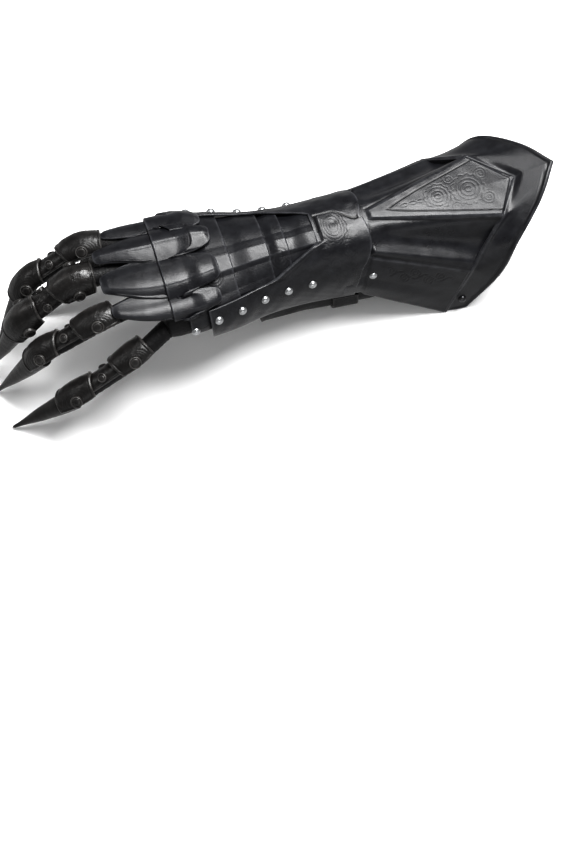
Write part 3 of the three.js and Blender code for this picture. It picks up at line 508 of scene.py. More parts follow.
def wall(name, slot, surface, us, vs, thickness, closed=False,
         relief=nothing, tool=nothing, painted_highlight=nothing, crease=48):
    """A leather wall below a surface, with rounded cut edges.

    relief, tool and the painted highlight take (u, v, points, distance from the edge) and give millimetres
    outwards, the depth of tool lines from 0 to 1, and the strength of a painted highlight from 0 to 1."""
    u, v = np.meshgrid(us, vs, indexing="ij")
    p = surface(u, v)
    out = normals_of(surface, u, v)
    rim = border_distance(p, closed)
    lines = tool(u, v, p, rim)
    # Worn colour: rubbed wear along the cut edges, and painted highlights where the highlight function gives
    # them
    rubbed_and_highlit = np.maximum(0.75 * groove(rim, 0.9), painted_highlight(u, v, p, rim))
    outer = p + out * (relief(u, v, p, rim) - TOOL_DEPTH * lines)[..., None]
    inner = p - out * thickness
    n, m = u.shape
    total = 2 * n * m
    index = np.arange(n * m).reshape(n, m)
    inner_index = index + n * m
    points = [outer.reshape(-1, 3), inner.reshape(-1, 3)]
    tool_marks = [lines.ravel(), np.zeros(n * m)]
    wear_and_highlight_marks = [rubbed_and_highlit.ravel(), np.zeros(n * m)]
    here = index[:, :m if closed else m - 1]
    after = np.roll(index, -1, axis=1)[:, :here.shape[1]]
    faces = [np.stack([here[:-1], here[1:], after[1:], after[:-1]], -1).reshape(-1, 4)]
    faces += inner_faces(inner_index, closed)
    for loop in border_loops(n, m, closed):
        edge = tuple(np.array(loop).T)
        around = np.roll(outer[edge], -1, axis=0) - np.roll(outer[edge], 1, axis=0)
        middle = (outer[edge] + inner[edge]) / 2
        half = (outer[edge] - inner[edge]) / 2
        bulge = RIM_FULLNESS * np.linalg.norm(half, axis=-1, keepdims=True) * unit(np.cross(half, around))
        rings = [index[edge]]
        for turn in RIM_TURNS:
            points.append(middle + half * math.cos(rad(turn)) + bulge * math.sin(rad(turn)))
            tool_marks.append(np.zeros(len(loop)))
            wear_and_highlight_marks.append(np.full(len(loop), RIM_WEAR))
            rings.append(np.arange(total, total + len(loop)))
            total += len(loop)
        rings.append(inner_index[edge])
        for one, two in zip(rings, rings[1:]):
            faces.append(np.stack([one, np.roll(one, -1), np.roll(two, -1), two], -1))
    used = np.zeros(total, bool)
    for block in faces:
        used[block] = True
    renumber = np.cumsum(used) - 1
    faces = [renumber[block] for block in faces]
    marks = dict(tool=np.concatenate(tool_marks)[used], wear_and_highlight=np.concatenate(wear_and_highlight_marks)[used])
    make_piece(name, np.concatenate(points)[used], faces, slot, [name], marks, crease)


def ringed(name, slot, nodes, rings, foot, head, wear_and_highlight, crease, first=0):
    """A closed body of rings of points, each joined to the next, with a point at each end.

    'first' is the corner that each quad starts from, which decides how it is cut in two."""
    n, sides = rings.shape[:2]
    index = np.arange(n * sides).reshape(n, sides)
    after = np.roll(index, -1, axis=1)
    quads = np.stack([index[:-1], after[:-1], after[1:], index[1:]], -1).reshape(-1, 4)
    faces = [
        np.roll(quads, -first, axis=1),
        np.stack([np.full(sides, n * sides), after[0], index[0]], -1),
        np.stack([np.full(sides, n * sides + 1), index[-1], after[-1]], -1),
    ]
    points = np.concatenate([rings.reshape(-1, 3), [foot, head]])
    make_piece(name, points, faces, slot, nodes, dict(wear_and_highlight=wear_and_highlight, tool=np.zeros(len(points))), crease)


def turned(name, slot, nodes, profile, place, out, sides=40):
    """A body turned about 'out' at 'place': profile rows are (radius, height, worn colour for rubbing and
    painted highlight).
    """
    helper = np.array([1.0, 0, 0]) if abs(out[0]) < 0.9 else np.array([0, 1.0, 0])
    e1 = unit(np.cross(helper, out))
    e2 = np.cross(out, e1)
    angles = np.arange(sides) * 2 * math.pi / sides
    ring = np.cos(angles)[:, None] * e1 + np.sin(angles)[:, None] * e2
    radius, height, rubbed_and_highlit = np.array(profile, float).T
    axis = place + out * height[:, None]
    wear_and_highlight = np.concatenate([np.repeat(rubbed_and_highlit, sides), rubbed_and_highlit[[0, -1]]])
    ringed(name, slot, nodes, axis[:, None] + ring * radius[:, None, None], axis[0], axis[-1], wear_and_highlight, 40)


# Tool lines and patterns

def groove(distance, width):
    return np.exp(-((distance / width) ** 2))


def most(*marks):
    """The deepest of several marks at each point."""
    return np.maximum.reduce(np.broadcast_arrays(*marks))


def rings_and_petals(x, y, centre, radii, reach, count, width):
    """A rosette: rings inside an outline of rounded petals."""
    dx, dy = x - centre[0], y - centre[1]
    r = np.hypot(dx, dy)
    edge = reach * (0.88 + 0.12 * np.abs(np.cos(count * np.arctan2(dy, dx) / 2)))
    return most(groove(r - edge, width), *(groove(r - radius, width) for radius in radii))


def spiral(x, y, centre, reach, pitch, start, hand, width):
    """A scroll: one arm winding out from its centre to 'reach'."""
    dx, dy = x - centre[0], y - centre[1]
    r = np.hypot(dx, dy)
    turn = hand * np.arctan2(dy, dx) / (2 * math.pi) - start
    phase = (r / pitch - turn) % 1
    line = groove(np.minimum(phase, 1 - phase) * pitch, width)
    return line * (1 - smooth(r, reach - pitch * 0.6, reach)) * smooth(r, 0, pitch * 0.5)


def spirals(x, y, rows):
    """Scrolls, a row (centre, reach, pitch, start, hand, width) for each."""
    return most(*(spiral(x, y, *row) for row in rows))


def waves(x, y, x0, length, height, y0, width):
    """A running tendril along x."""
    return groove(y - y0 - height * np.sin(2 * math.pi * (x - x0) / length), width)


def noise_field(p, scale, seed):
    """Cheap smooth noise from a few crossing waves, from -1 to 1."""
    rng = np.random.default_rng(seed)
    total = np.zeros(p.shape[:-1])
    weight = 0
    for octave in range(3):
        for _ in range(4):
            k = unit(rng.normal(size=3)) * 2 * math.pi / scale * 2**octave
            total += np.sin(p @ k + rng.uniform(0, 6.28)) / 1.6**octave
            weight += 1 / 1.6**octave
    return total / weight * 2.2


# Wrist, hand and forearm plates

# Facets pressed along the wrist, by angle from the top: a flat band that catches the
# light and a second ridge low on the near side, which runs in to the first one
FACETS = table(
    "at rise", (-80, 0.0), (-56, 0.15), (-48, 1.5), (-40, 0.5), (-22, 0.7), (-17, 2.1), (-3, 2.0),
    (4, 0.6), (30, 0.0),
)
RIDGE_MEETS = -41              # x where the near ridge has run in to the far one
RIDGE_SPREADS = -82
RIDGE_PIVOT = -20              # the angle that the near ridge closes in to
RIDGE_CLOSED = 0.35
ACROSS_WRIST = 0.62            # millimetres to a degree round the wrist
ACROSS_HAND = 0.78
ROWS_PER_MM = 2.2
FOLD_STEP = 13                 # degrees, the step that the plates' side edges keep to


def facets(x, angle):
    spread = mix(1, RIDGE_CLOSED, smooth(x, RIDGE_SPREADS, RIDGE_MEETS))
    drawn_in = RIDGE_PIVOT + (angle - RIDGE_PIVOT) / spread
    return straight(FACETS, "rise", np.where(angle < RIDGE_PIVOT, drawn_in, angle))


def plain(x, angle):
    return np.zeros(x.shape)


def wrist_plate(name, start, end, reach, joggle, pattern):
    """A faceted plate over the wrist, which climbs over the next one between two shares."""
    def surface(u, v):
        return body_point(mix(start, end, u), v, mix(TUCKED, LIFTED, smooth(u, *joggle)))

    def relief(u, v, p, rim):
        return facets(p[..., 0], v)

    def tool_lines(u, v, p, rim):
        return pattern(p[..., 0], v) * smooth(rim, 1.5, 3)

    def painted_highlight(u, v, p, rim):
        # Painted highlight lines along the flat band's ridge and along the low near ridge
        return 0.45 * groove(v + 16.5, 1.3) + 0.25 * groove(v + 48, 1.5) * (p[..., 0] < RIDGE_SPREADS)

    rows = int(abs(end - start) * ROWS_PER_MM)
    wall(name, "black_leather", surface, np.linspace(0, 1, rows), np.linspace(-reach, reach, 190),
         PLATE_WALL, relief=relief, tool=tool_lines, painted_highlight=painted_highlight)


LAME_ENDS = (-0.73, -0.475, -0.38, -0.2)
TOOLED_LAME = 2
LAME_SCROLLS = [((-72.5, -15), 9, 2.6, 0.1, 1, 0.38), ((-71, -29), 6, 2.3, 0.4, -1, 0.36)]
HAND_SCROLLS = [((-127, -17), 8, 2.5, 0.2, 1, 0.36), ((-120, -60), 11, 2.8, 0.3, -1, 0.4)]
HAND_PLATE = dict(start=-0.915, end=-0.66)


def lame_pattern(x, angle):
    return 0.6 * spirals(x, angle * ACROSS_WRIST, LAME_SCROLLS)


def hand_pattern(x, angle):
    across = angle * ACROSS_HAND
    return most(spirals(x, across, HAND_SCROLLS), waves(x, across, -140, 16, 3, -60, 0.4))


def make_wrist():
    for k, (start, end) in enumerate(zip(LAME_ENDS, LAME_ENDS[1:]), 1):
        start = start * HAND_REACH - (LAP if k > 1 else 0)
        pattern = lame_pattern if k == TOOLED_LAME else plain
        wrist_plate(f"wrist_lame_{k}", start, end * HAND_REACH, 6 * FOLD_STEP, (0.3, 0.7), pattern)


def make_hand_plate():
    start, end = (HAND_PLATE[k] * HAND_REACH for k in ("start", "end"))
    wrist_plate("hand_plate", start, end, 7 * FOLD_STEP, (0.42, 0.66), hand_pattern)


# Front edge of the forearm plate, by angle from the top: straight over the back, slanting
# along the near ridge, then the strips
STRIP_FROM = -0.82
STRIP_TOP = 4 * FOLD_STEP
STRIP_REACH = 8 * FOLD_STEP
STRIP_SHOULDER = 4
FOREARM_EDGE = table(
    "at start", (0, -0.235), (17, -0.235), (22, -0.27), (47, -0.475), (49, -0.52), (STRIP_TOP, STRIP_FROM))
SCALLOP = 5
JOINT_SLANT = 15
PANEL_RISE = 2.0
HEM_RISE = 1.8
PANEL_FRONT = -37              # x where the raised panel on the back begins
ROSETTE = dict(centre=(-24.5, -2.5), radii=(2.2, 4.4, 6.6, 8.8), reach=11.5, count=12, width=0.36)
FOREARM_SCROLLS = [((x, y), reach, 2.3, start, hand, 0.36) for x, y, reach, start, hand in (
    (-35.5, -17, 7.5, 0.2, 1), (-17, -20, 8.5, 0.6, -1), (-28, -29, 6, 0.3, 1),
    (-101, -36, 6, 0.2, -1), (-115, -38, 6.5, 0.5, 1), (-128, -38, 7, 0.1, -1),
)]


def joint_line(angle):
    return -JOINT_SLANT * np.minimum(np.abs(angle) / 90, 1) ** 1.5


def step_line(x, angle):
    """Millimetres above the edge of the raised panel on the back of the forearm."""
    return (angle - 10.5 + 12 * smooth(x, -24, -4)) * ACROSS_WRIST


def forearm_pattern(x, angle):
    across = angle * ACROSS_WRIST
    step = step_line(x, angle)
    return most(
        0.3 * rings_and_petals(x, across, **ROSETTE),
        0.3 * spirals(x, across, FOREARM_SCROLLS),
        1.6 * groove(step - 0.6, 0.9) * (x > PANEL_FRONT - 0.5),
        1.2 * groove(x - PANEL_FRONT - 0.5, 0.8) * (step < 0.5) * (angle > -6))


def make_forearm_plate():
    def front(v):
        return straight(FOREARM_EDGE, "start", np.abs(v)) * HAND_REACH

    def surface(u, v):
        end = joint_line(v) + SCALLOP * np.sin(rad(np.minimum(np.abs(v), 60) * 3))
        return body_point(mix(front(v), end, u), v, OUTER)

    def relief(u, v, p, rim):
        x = p[..., 0]
        begins = mix(smooth(x, PANEL_FRONT, -34), smooth(x, -80, -15), smooth(-v, 4, 22))
        panel = PANEL_RISE * (1 - smooth(step_line(x, v), -0.7, 0)) * begins * (1 - smooth(-v, 25, 70))
        slanting = smooth(-v, 15, 22) * (1 - smooth(-v, 46, 52))
        hem = HEM_RISE * groove(np.maximum(x - front(v) - 2, 0), 5) * slanting
        return panel + hem + 0.35 * noise_field(p, 30, 21) * smooth(rim, 0, 6)

    def tool_lines(u, v, p, rim):
        return forearm_pattern(p[..., 0], v) * smooth(rim, 1.5, 3)

    edge = STRIP_TOP - STRIP_SHOULDER
    columns = spaced((-STRIP_REACH, -STRIP_TOP, -edge, edge, STRIP_TOP, STRIP_REACH), (49, 9, 163, 9, 49))
    wall("forearm_plate", "black_leather", surface, np.linspace(0, 1, 216), columns, PLATE_WALL,
         relief=relief, tool=tool_lines)


# Knuckle combs, a row for each lobe: its angles from the top, its share of the lobes'
# length and the degrees that it leans by, in front of the crease and behind it
LOBES = table(
    "near far front back lean_front lean_back",
    (-54, -29, 0.95, 0.9, 16, 5),
    (-29, 4, 1, 1, 11, 2),
    (4, 40, 1, 1.02, 2, -5),
    (40, 80, 0.8, 0.94, -2, -22),
)
LOBE_COUNT = len(LOBES["near"])
CREASE = 0.955
FRONT_LOBE = 53
BACK_LOBE = 39
LOBE_WEB = 0.3
FLUTE_HEIGHT = 4.2
FLUTE_RIDGE = -0.16            # where across a lobe its ridge runs: -1 is its near edge
CREASE_LAP = 5
LOBE_STEPS = 64                # grid lines across one lobe
LOBE_TAPER = dict(front=0.24, back=0.08)
MIDDLE_LOBE = 2                # its back end is a second layer
LIP = 0.9


def make_comb(name, direction, lobe_length, end, base_level, start):
    near, far, share, lean = (LOBES[column] for column in ("near", "far", end, "lean_" + end))
    middles = (near + far) / 2
    leans = dict(at=middles, lean=lean)

    def split(v):
        v = np.abs(v)
        i = np.clip(np.floor(v).astype(int), 0, LOBE_COUNT - 1)
        return i, np.clip(2 * (v - i) - 1, -1, 1)

    def surface(u, v):
        i, across = split(v)
        round_end = np.maximum(1 - np.abs(across) ** 5, 0) ** 0.45
        length = lobe_length * share[i] * mix(LOBE_WEB, 1, round_end)
        run = u * (length + CREASE_LAP)
        reach = run / (lobe_length * share[i] + CREASE_LAP)
        taper = 1 - LOBE_TAPER[end] * smooth(reach, LOBE_WEB, 1)
        angle = middles[i] + across * (far[i] - near[i]) / 2 * taper
        angle = angle + rounded(leans, "lean", angle) * u * u
        before = across < FLUTE_RIDGE
        flank = np.abs(across - FLUTE_RIDGE) / np.where(before, 1 + FLUTE_RIDGE, 1 - FLUTE_RIDGE)
        roof = 1 - 0.86 * np.sqrt(flank**2 + 0.03) ** np.where(before, 1.25, 1.9)
        flute = FLUTE_HEIGHT * roof * (1 - 0.3 * smooth(reach, 0.9, 1))
        return body_point(start + direction * run, angle, base_level(u) + flute)

    def relief(u, v, p, rim):
        i, across = split(v)
        lip = LIP * smooth(u, 0.66, 0.675) * ((i == MIDDLE_LOBE) & (end == "back"))
        return 0.1 * noise_field(p, 30, 3) * smooth(rim, 0, 5) + lip * (1 - smooth(np.abs(across), 0.9, 1))

    def painted_highlight(u, v, p, rim):
        # Painted highlight line along the ridge of each lobe
        return 0.3 * groove(split(v)[1] - FLUTE_RIDGE, 0.12)

    lobe = np.sin(np.linspace(-1, 1, LOBE_STEPS, endpoint=False) * math.pi / 2)
    columns = np.concatenate([*(k + (lobe + 1) / 2 for k in range(LOBE_COUNT)), [LOBE_COUNT]])
    columns = np.clip(columns, 1e-4, LOBE_COUNT - 1e-4)
    if direction < 0:
        columns = -columns[::-1]
    wall(name, "black_leather", surface, np.linspace(0, 1, 88), columns, PLATE_WALL,
         relief=relief, painted_highlight=painted_highlight, crease=60)


def make_combs():
    crease = -CREASE * HAND_REACH
    make_comb("knuckle_comb_front", -1, FRONT_LOBE, "front", lambda u: TUCKED, crease + CREASE_LAP)
    make_comb("knuckle_comb_back", 1, BACK_LOBE, "back",
              lambda u: mix(LIFTED, OUTER, smooth(u, 0.4, 0.7)), crease - CREASE_LAP)


# Cuff: v runs from the middle of the kite panel at 0 over the dished panel to the side
# panel's edge at 1, and u from the collar over the panels to the rim
CUFF_KITE = 0.28
CUFF_PANEL = 0.66
COLLAR_SHARE = 0.12
BAND_SHARE = 0.8
COLLAR_BACK = -9
COLLAR_FRONT = 5
COLLAR = table("at angle", (0, 0), (CUFF_KITE, 4), (CUFF_PANEL, 46), (1, 98))
COLLAR_OVER = (74, 86)         # angles between which the collar climbs over the underside plate
CUFF_INNER = table(
    "at along side height", (0, 1, 0, 0.93), (CUFF_KITE, 0.815, 0.47, 0.88),
    (CUFF_PANEL, 0.615, 0.86, 0.55), (1, 0.46, 0.98, 0))
CUFF_RIM = table(
    "at along side height", (0, 1, 0, 1), (CUFF_KITE, 0.885, 0.42, 0.94), (0.47, 0.735, 0.79, 0.79),
    (CUFF_PANEL, 0.645, 0.95, 0.45), (1, 0.48, 1, 0))
# The fold is drawn a little toward the rim on the near side and toward the hand on the far one
FOLD_DRAWN = table(
    "at drawn", (-1, 0), (-CUFF_PANEL, 0), (-CUFF_KITE, 0.05), (0, 0), (CUFF_KITE, -0.05),
    (CUFF_PANEL, -0.06), (1, 0))
DISH = 5
BAND_SOFTNESS = 0.15           # how far the corners of the fold are smoothed out in the band
SPREAD_SHARES = (-1, -0.67, -0.33, 0, 0.33, 0.67, 1)
# Millimetres that a whole step of v measures across each panel, at its two ends
KITE_ACROSS = (12, 105)
DISH_ACROSS = 100
SIDE_ACROSS = (118, 165)


def cuff_line(v, reach, along, side, height):
    return stack(along * reach, side * np.sign(v) * CUFF_SPREAD / 2, height * CUFF_TIP_HEIGHT)


def fold_line(v):
    along, side, height = (straight(CUFF_INNER, k, np.abs(v)) for k in ("along", "side", "height"))
    return cuff_line(v, CUFF_LENGTH - RIM_WIDTH, along + straight(FOLD_DRAWN, "drawn", v), side, height)


def rim_line(v):
    return cuff_line(v, CUFF_LENGTH, *(rounded(CUFF_RIM, k, np.abs(v)) for k in ("along", "side", "height")))


def cuff_surface(u, v):
    v = np.clip(v, -1, 1)
    angle = np.sign(v) * straight(COLLAR, "angle", np.abs(v))
    joint = joint_line(angle)
    level = mix(LIFTED, OUTER, smooth(np.abs(angle), *COLLAR_OVER))
    collar_x = joint + mix(COLLAR_BACK, COLLAR_FRONT, np.minimum(u, COLLAR_SHARE) / COLLAR_SHARE)
    collar = body_point(collar_x, angle, level)
    start = body_point(joint + COLLAR_FRONT, angle, level)
    t = np.clip((u - COLLAR_SHARE) / (BAND_SHARE - COLLAR_SHARE), 0, 1)
    across = np.clip((np.abs(v) - CUFF_KITE) / (CUFF_PANEL - CUFF_KITE), 0, 1)
    dip = DISH * np.sin(math.pi * across) * np.sin(math.pi * np.minimum(t * 1.15, 1) / 2)
    panel = mix(start, fold_line(v), t[..., None]) + stack(0, -np.sign(v) * dip * 0.6, -dip * 0.8)
    past_fold = np.clip((u - BAND_SHARE) / (1 - BAND_SHARE), 0, None)
    spread = BAND_SOFTNESS * smooth(past_fold, 0, 0.9) * (1 - smooth(np.abs(v), 0.5, 0.8))
    softened = sum(fold_line(np.clip(v + k * spread, -1, 1)) for k in SPREAD_SHARES) / len(SPREAD_SHARES)
    band = mix(softened, rim_line(v), past_fold[..., None])
    u = u[..., None]
    return np.where(u < COLLAR_SHARE, collar, np.where(u < BAND_SHARE, panel, band))


def cuff_places(u, v):
    """Shares along the panels and across the rim band, and millimetres past the panel edges."""
    t = (u - COLLAR_SHARE) / (BAND_SHARE - COLLAR_SHARE)
    in_band = np.clip((u - BAND_SHARE) / (1 - BAND_SHARE), 0, 1)
    along, across = np.clip(t, 0, 1), np.abs(v)
    from_kite = (across - CUFF_KITE) * np.where(across < CUFF_KITE, mix(*KITE_ACROSS, along), DISH_ACROSS)
    from_panel = (across - CUFF_PANEL) * np.where(across < CUFF_PANEL, DISH_ACROSS, mix(*SIDE_ACROSS, along))
    return t, in_band, from_kite, from_panel


def cuff_relief(u, v, p, rim):
    """A flat kite panel, raised borders, rolls across the dishes, a step down to the band."""
    t, in_band, from_kite, from_panel = cuff_places(u, v)
    along = np.clip(t, 0, 1)
    from_tip = np.clip(np.abs(v) / CUFF_KITE, 0, 1)
    past_kite = np.clip((np.abs(v) - CUFF_KITE) / (CUFF_PANEL - CUFF_KITE), 0, 1)
    flat = mix(-3.4, 1.5, from_tip) * (1 - past_kite) * along
    level = flat * (1 - smooth(in_band, 0, 0.3))
    rolls = 1.2 * np.sin(3 * math.pi * past_kite) * np.sin(math.pi * along) ** 0.5 * (t > 0) * (t < 1)
    from_roll = from_panel + 5
    roll = 2.4 * groove(np.where(from_roll < 0, from_roll, 1.7 * from_roll), 4.8)
    kite = 1.3 * (1 - smooth(from_kite, -2.0, 1.2))
    side = 1.2 * smooth(from_panel, -0.9, 2.0)
    fold = groove((t - 1.01) * 90, 1.5)
    edge = 0.9 * groove(rim - 1.6, 1.2) * smooth(u, 0.82, 0.9)
    hammer = 0.22 * noise_field(p, 46, 5)
    inside = smooth(t, 0.0, 0.04) * (1 - smooth(t, 0.985, 1.0))
    return level + rolls + fold + edge + (kite + side + roll + hammer) * inside


KITE_ROSETTES = [
    dict(centre=(66, 0), radii=(2.2, 5, 8.2), reach=11.5, count=12, width=0.42),
    dict(centre=(92, 0), radii=(2.6, 6.2, 9.4), reach=14, count=14, width=0.45),
]
KITE_SCROLLS = [row for side in (-1, 1) for row in (
    ((106, side * 11), 7, 2.4, 0.1, side, 0.4), ((79, side * 12.5), 5.5, 2.2, 0.6, -side, 0.38))]
SIDE_SCROLLS = [
    ((15 + 10 * k, 3.4 * hand), 5, 2.1, 0.2 * k, hand, 0.38) for k, hand in enumerate((-1, 1, -1, 1, -1))]
SIDE_SCROLLS_BELOW = 14        # millimetres from the side panel's upper edge to its scrolls


def cuff_tool(u, v, p, rim):
    t, _, from_kite, from_panel = cuff_places(u, v)
    x, y = p[..., 0], p[..., 1]
    in_kite = (np.abs(v) < CUFF_KITE * 0.86) & (t > 0.1) & (t < 0.97)
    from_edge = (CUFF_KITE - np.abs(v)) * KITE_ACROSS[1] * np.clip(t, 0, 1)
    pattern = most(
        *(rings_and_petals(x, y, **rosette) for rosette in KITE_ROSETTES),
        spirals(x, y, KITE_SCROLLS),
        *(waves(x, y, 20, 14, side * 1.6, 0, 0.38) * (x < 52) for side in (-1, 1)))
    below = from_panel - SIDE_SCROLLS_BELOW
    scroll = most(waves(x, below, 8, 20, 3, 0, 0.42), spirals(x, below, SIDE_SCROLLS))
    edges = most(groove(from_kite - 1.6, 0.9), groove(from_panel + 0.4, 0.8))
    return most(
        groove(from_edge - 4.5, 0.4) * ((t > 0.12) & (t < 0.99)),
        0.42 * pattern * in_kite * smooth(from_edge, 5.5, 7),
        1.3 * scroll * smooth(from_panel, 2.5, 4) * (x > 13) * (t < 0.88),
        0.8 * edges * (t < 1) * (t > 0),
        most(groove(rim - 4.2, 0.45), 0.8 * groove(rim - 5.6, 0.3)) * (u > BAND_SHARE))


def make_cuff():
    def painted_highlight(u, v, p, rim):
        # Painted highlights along the kite's raised border, above the side panel's edge and along the fold
        t, _, from_kite, from_panel = cuff_places(u, v)
        ridges = most(groove(from_kite + 1, 1.2), groove(from_panel - 1.5, 1.2))
        return most(0.5 * ridges * (t > 0) * (t < 1), 0.45 * groove((t - 1.01) * 90, 1.2))

    columns = spaced((-1, -CUFF_PANEL, -CUFF_KITE, 0, CUFF_KITE, CUFF_PANEL, 1), (45, 49, 70, 70, 49, 45))
    rows = spaced((0, COLLAR_SHARE, BAND_SHARE, 1), (10, 171, 39))
    wall("cuff_plate", "black_leather", cuff_surface, rows, columns, CUFF_WALL,
         relief=cuff_relief, tool=cuff_tool, painted_highlight=painted_highlight, crease=40)


# Underside, strap and buckle
UNDER_FROM = -0.56
UNDER_TO = 0.29
UNDER_EDGE = 7 * FOLD_STEP
UNDER_BULGE = 8
BULGE_SHARE = 0.8
STRAP_AT = -22
STRAP_OUTER = LIFTED + LAYER_GAP + STRAP_WALL
STRAP_EDGE = STRIP_REACH + 3
BUCKLE_CORNER = 2.2


def under_surface(start, end, off):
    def surface(u, v):
        share = (180 - np.abs(v - 180) - STRIP_REACH) / (180 - STRIP_REACH)
        bulge = UNDER_BULGE * np.sin(math.pi * np.clip(share / BULGE_SHARE, 0, 1)) ** 2
        return body_point(mix(start, end, u), v, off + bulge)
    return surface


def make_underside():
    def relief(u, v, p, rim):
        return 0.5 * noise_field(p, 34, 8) * smooth(rim, 0, 8) - 0.3

    surface = under_surface(UNDER_FROM * HAND_REACH, UNDER_TO * HAND_REACH, LIFTED)
    wall("underside_plate", "soft_leather", surface, np.linspace(0, 1, 50),
         np.linspace(UNDER_EDGE, 360 - UNDER_EDGE, 100), PLATE_WALL,
         relief=relief, tool=lambda u, v, p, rim: groove(rim - 2.6, 0.4))


def make_strap():
    def stitches(u, v, p, rim):
        return groove(rim - 2.4, 0.35) * (0.5 + 0.5 * (np.sin(v * 2.4) > -0.3))

    start = STRAP_AT - STRAP_WIDTH / 2
    surface = under_surface(start, start + STRAP_WIDTH, STRAP_OUTER)
    wall("closing_strap", "soft_leather", surface, np.linspace(0, 1, 22),
         np.linspace(STRAP_EDGE, 360 - STRAP_EDGE, 160), STRAP_WALL, tool=stitches)


def make_buckle():
    """A rounded rectangular frame of round bar."""
    out = body_normal(STRAP_AT, 180, STRAP_OUTER)
    radius = BUCKLE_BAR / 2
    seat = body_point(STRAP_AT, 180, STRAP_OUTER) + out * (LAYER_GAP + radius)
    lengthwise = np.array([1.0, 0, 0])
    across = unit(np.cross(out, lengthwise))
    half_x = STRAP_WIDTH / 2 + BUCKLE_BAR - BUCKLE_CORNER
    half_y = (STRAP_WIDTH * 0.8 - BUCKLE_BAR) / 2 - BUCKLE_CORNER
    path, outward = [], []
    for k, (sx, sy) in enumerate(((1, 1), (-1, 1), (-1, -1), (1, -1))):
        for a in rad(np.linspace(0, 90, 7) + 90 * k):
            outward.append(np.array([math.cos(a), math.sin(a)]))
            path.append(np.array([sx * half_x, sy * half_y]) + BUCKLE_CORNER * outward[-1])
    axes = np.array([lengthwise, across])
    centre, side = seat + np.array(path) @ axes, np.array(outward) @ axes
    sides = 12
    turns = (np.arange(sides) * 2 * math.pi / sides)[None, :, None]
    ring = centre[:, None] + radius * (np.cos(turns) * side[:, None] + np.sin(turns) * out)
    a = np.arange(len(path) * sides).reshape(-1, sides)
    b = np.roll(a, -1, axis=0)
    faces = np.stack([a, b, np.roll(b, -1, axis=1), np.roll(a, -1, axis=1)], -1).reshape(-1, 4)
    make_piece("strap_buckle", ring.reshape(-1, 3), [faces], "dark_steel", ["strap_buckle"])


# Fingers: shares of FINGER_LENGTH, and the headings of the three bones in degrees
FINGERS = [
    dict(name="index", across=0.35, height=0.86, size=1, roll=44,
         lengths=(0.3, 0.265, 0.375), yaw=(9, -6, -22), pitch=(-4, 28, 57.6)),
    dict(name="middle", across=0.135, height=0.87, size=1.03, roll=5,
         lengths=(0.365, 0.262, 0.38), yaw=(0, -9, -3), pitch=(-7, 31, 61.7)),
    dict(name="ring", across=-0.11, height=0.865, size=1, roll=44,
         lengths=(0.33, 0.258, 0.38), yaw=(-13, 0, 7), pitch=(-3, 32, 52.9)),
    dict(name="pinky", across=-0.355, height=0.79, size=0.96, roll=44,
         lengths=(0.25, 0.27, 0.355), yaw=(-25, -9, 7), pitch=(13, 26, 36.4)),
]
THUMB = dict(name="thumb", across=0.28, height=0.6, size=1.08, roll=48,
             lengths=(0.26, 0.22, 0.37), yaw=(34, -4, -14), pitch=(9, 14, 32.3))
FINGER_ROOT = 0.94
THUMB_ROOT = 0.68
JOINT_BEND = 13
ROOT_FULLNESS = 1.04
TIP_SLIMNESS = 0.86
SLEEVE_PAST_JOINT = 20
PATH_STEPS = 160
HEADING_REACH = 0.6            # millimetres along the bone over which its heading is taken


def heading(yaw, pitch):
    level = math.cos(rad(pitch))
    return np.array([-math.cos(rad(yaw)) * level, math.sin(rad(yaw)) * level, -math.sin(rad(pitch))])


class Bone:
    """Centre line of a finger: three straight bones with rounded joints."""

    def __init__(self, finger, root_share):
        root = np.array([-root_share * HAND_REACH, finger["across"] * HAND_WIDTH + KNUCKLE_SHIFT,
                         finger["height"] * KNUCKLE_HEIGHT])
        ends = [root]
        for share, yaw, pitch in zip(finger["lengths"], finger["yaw"], finger["pitch"]):
            ends.append(ends[-1] + heading(yaw, pitch) * share * FINGER_LENGTH)
        t = np.linspace(0, 1, PATH_STEPS)[:, None]
        runs = []
        for before, joint, after in zip(ends, ends[1:], ends[2:]):
            enters = joint + unit(before - joint) * JOINT_BEND
            leaves = joint + unit(after - joint) * JOINT_BEND
            runs.append(mix(runs[-1][-1] if runs else root, enters, t))
            runs.append((1 - t) ** 2 * enters + 2 * t * (1 - t) * joint + t**2 * leaves)
        runs.append(mix(runs[-1][-1], ends[-1], t))
        lengths = [np.linalg.norm(np.diff(run, axis=0), axis=1).sum() for run in runs]
        self.points = np.concatenate([runs[0]] + [run[1:] for run in runs[1:]])
        steps = np.linalg.norm(np.diff(self.points, axis=0), axis=1)
        self.run = np.concatenate([[0], np.cumsum(steps)])
        self.length = self.run[-1]
        self.knuckle_at = lengths[0] + lengths[1] / 2
        self.tip_joint_at = sum(lengths[:3]) + lengths[3] / 2
        self.radius = finger["size"] * FINGER_RADIUS
        self.roll = finger["roll"]

    def centre(self, s):
        inside = np.clip(s, 0, self.length)
        return np.stack([np.interp(inside, self.run, self.points[:, k]) for k in range(3)], -1)

    def point(self, s, angle, r):
        s, angle, r = (a.astype(float) for a in np.broadcast_arrays(s, angle, r))
        inside = np.clip(s, 0, self.length)
        along = unit(self.centre(inside + HEADING_REACH) - self.centre(inside - HEADING_REACH))
        centre = self.centre(inside) + along * (s - inside)[..., None]
        side = unit(np.cross(np.array([0, 0, 1.0]), along))
        back = np.cross(along, side)
        turn = rad(angle - self.roll)
        return centre + back * (np.cos(turn) * r)[..., None] + side * (np.sin(turn) * r)[..., None]

    def glove(self, s):
        return self.radius * mix(ROOT_FULLNESS, TIP_SLIMNESS, np.clip(s / self.tip_joint_at, 0, 1))


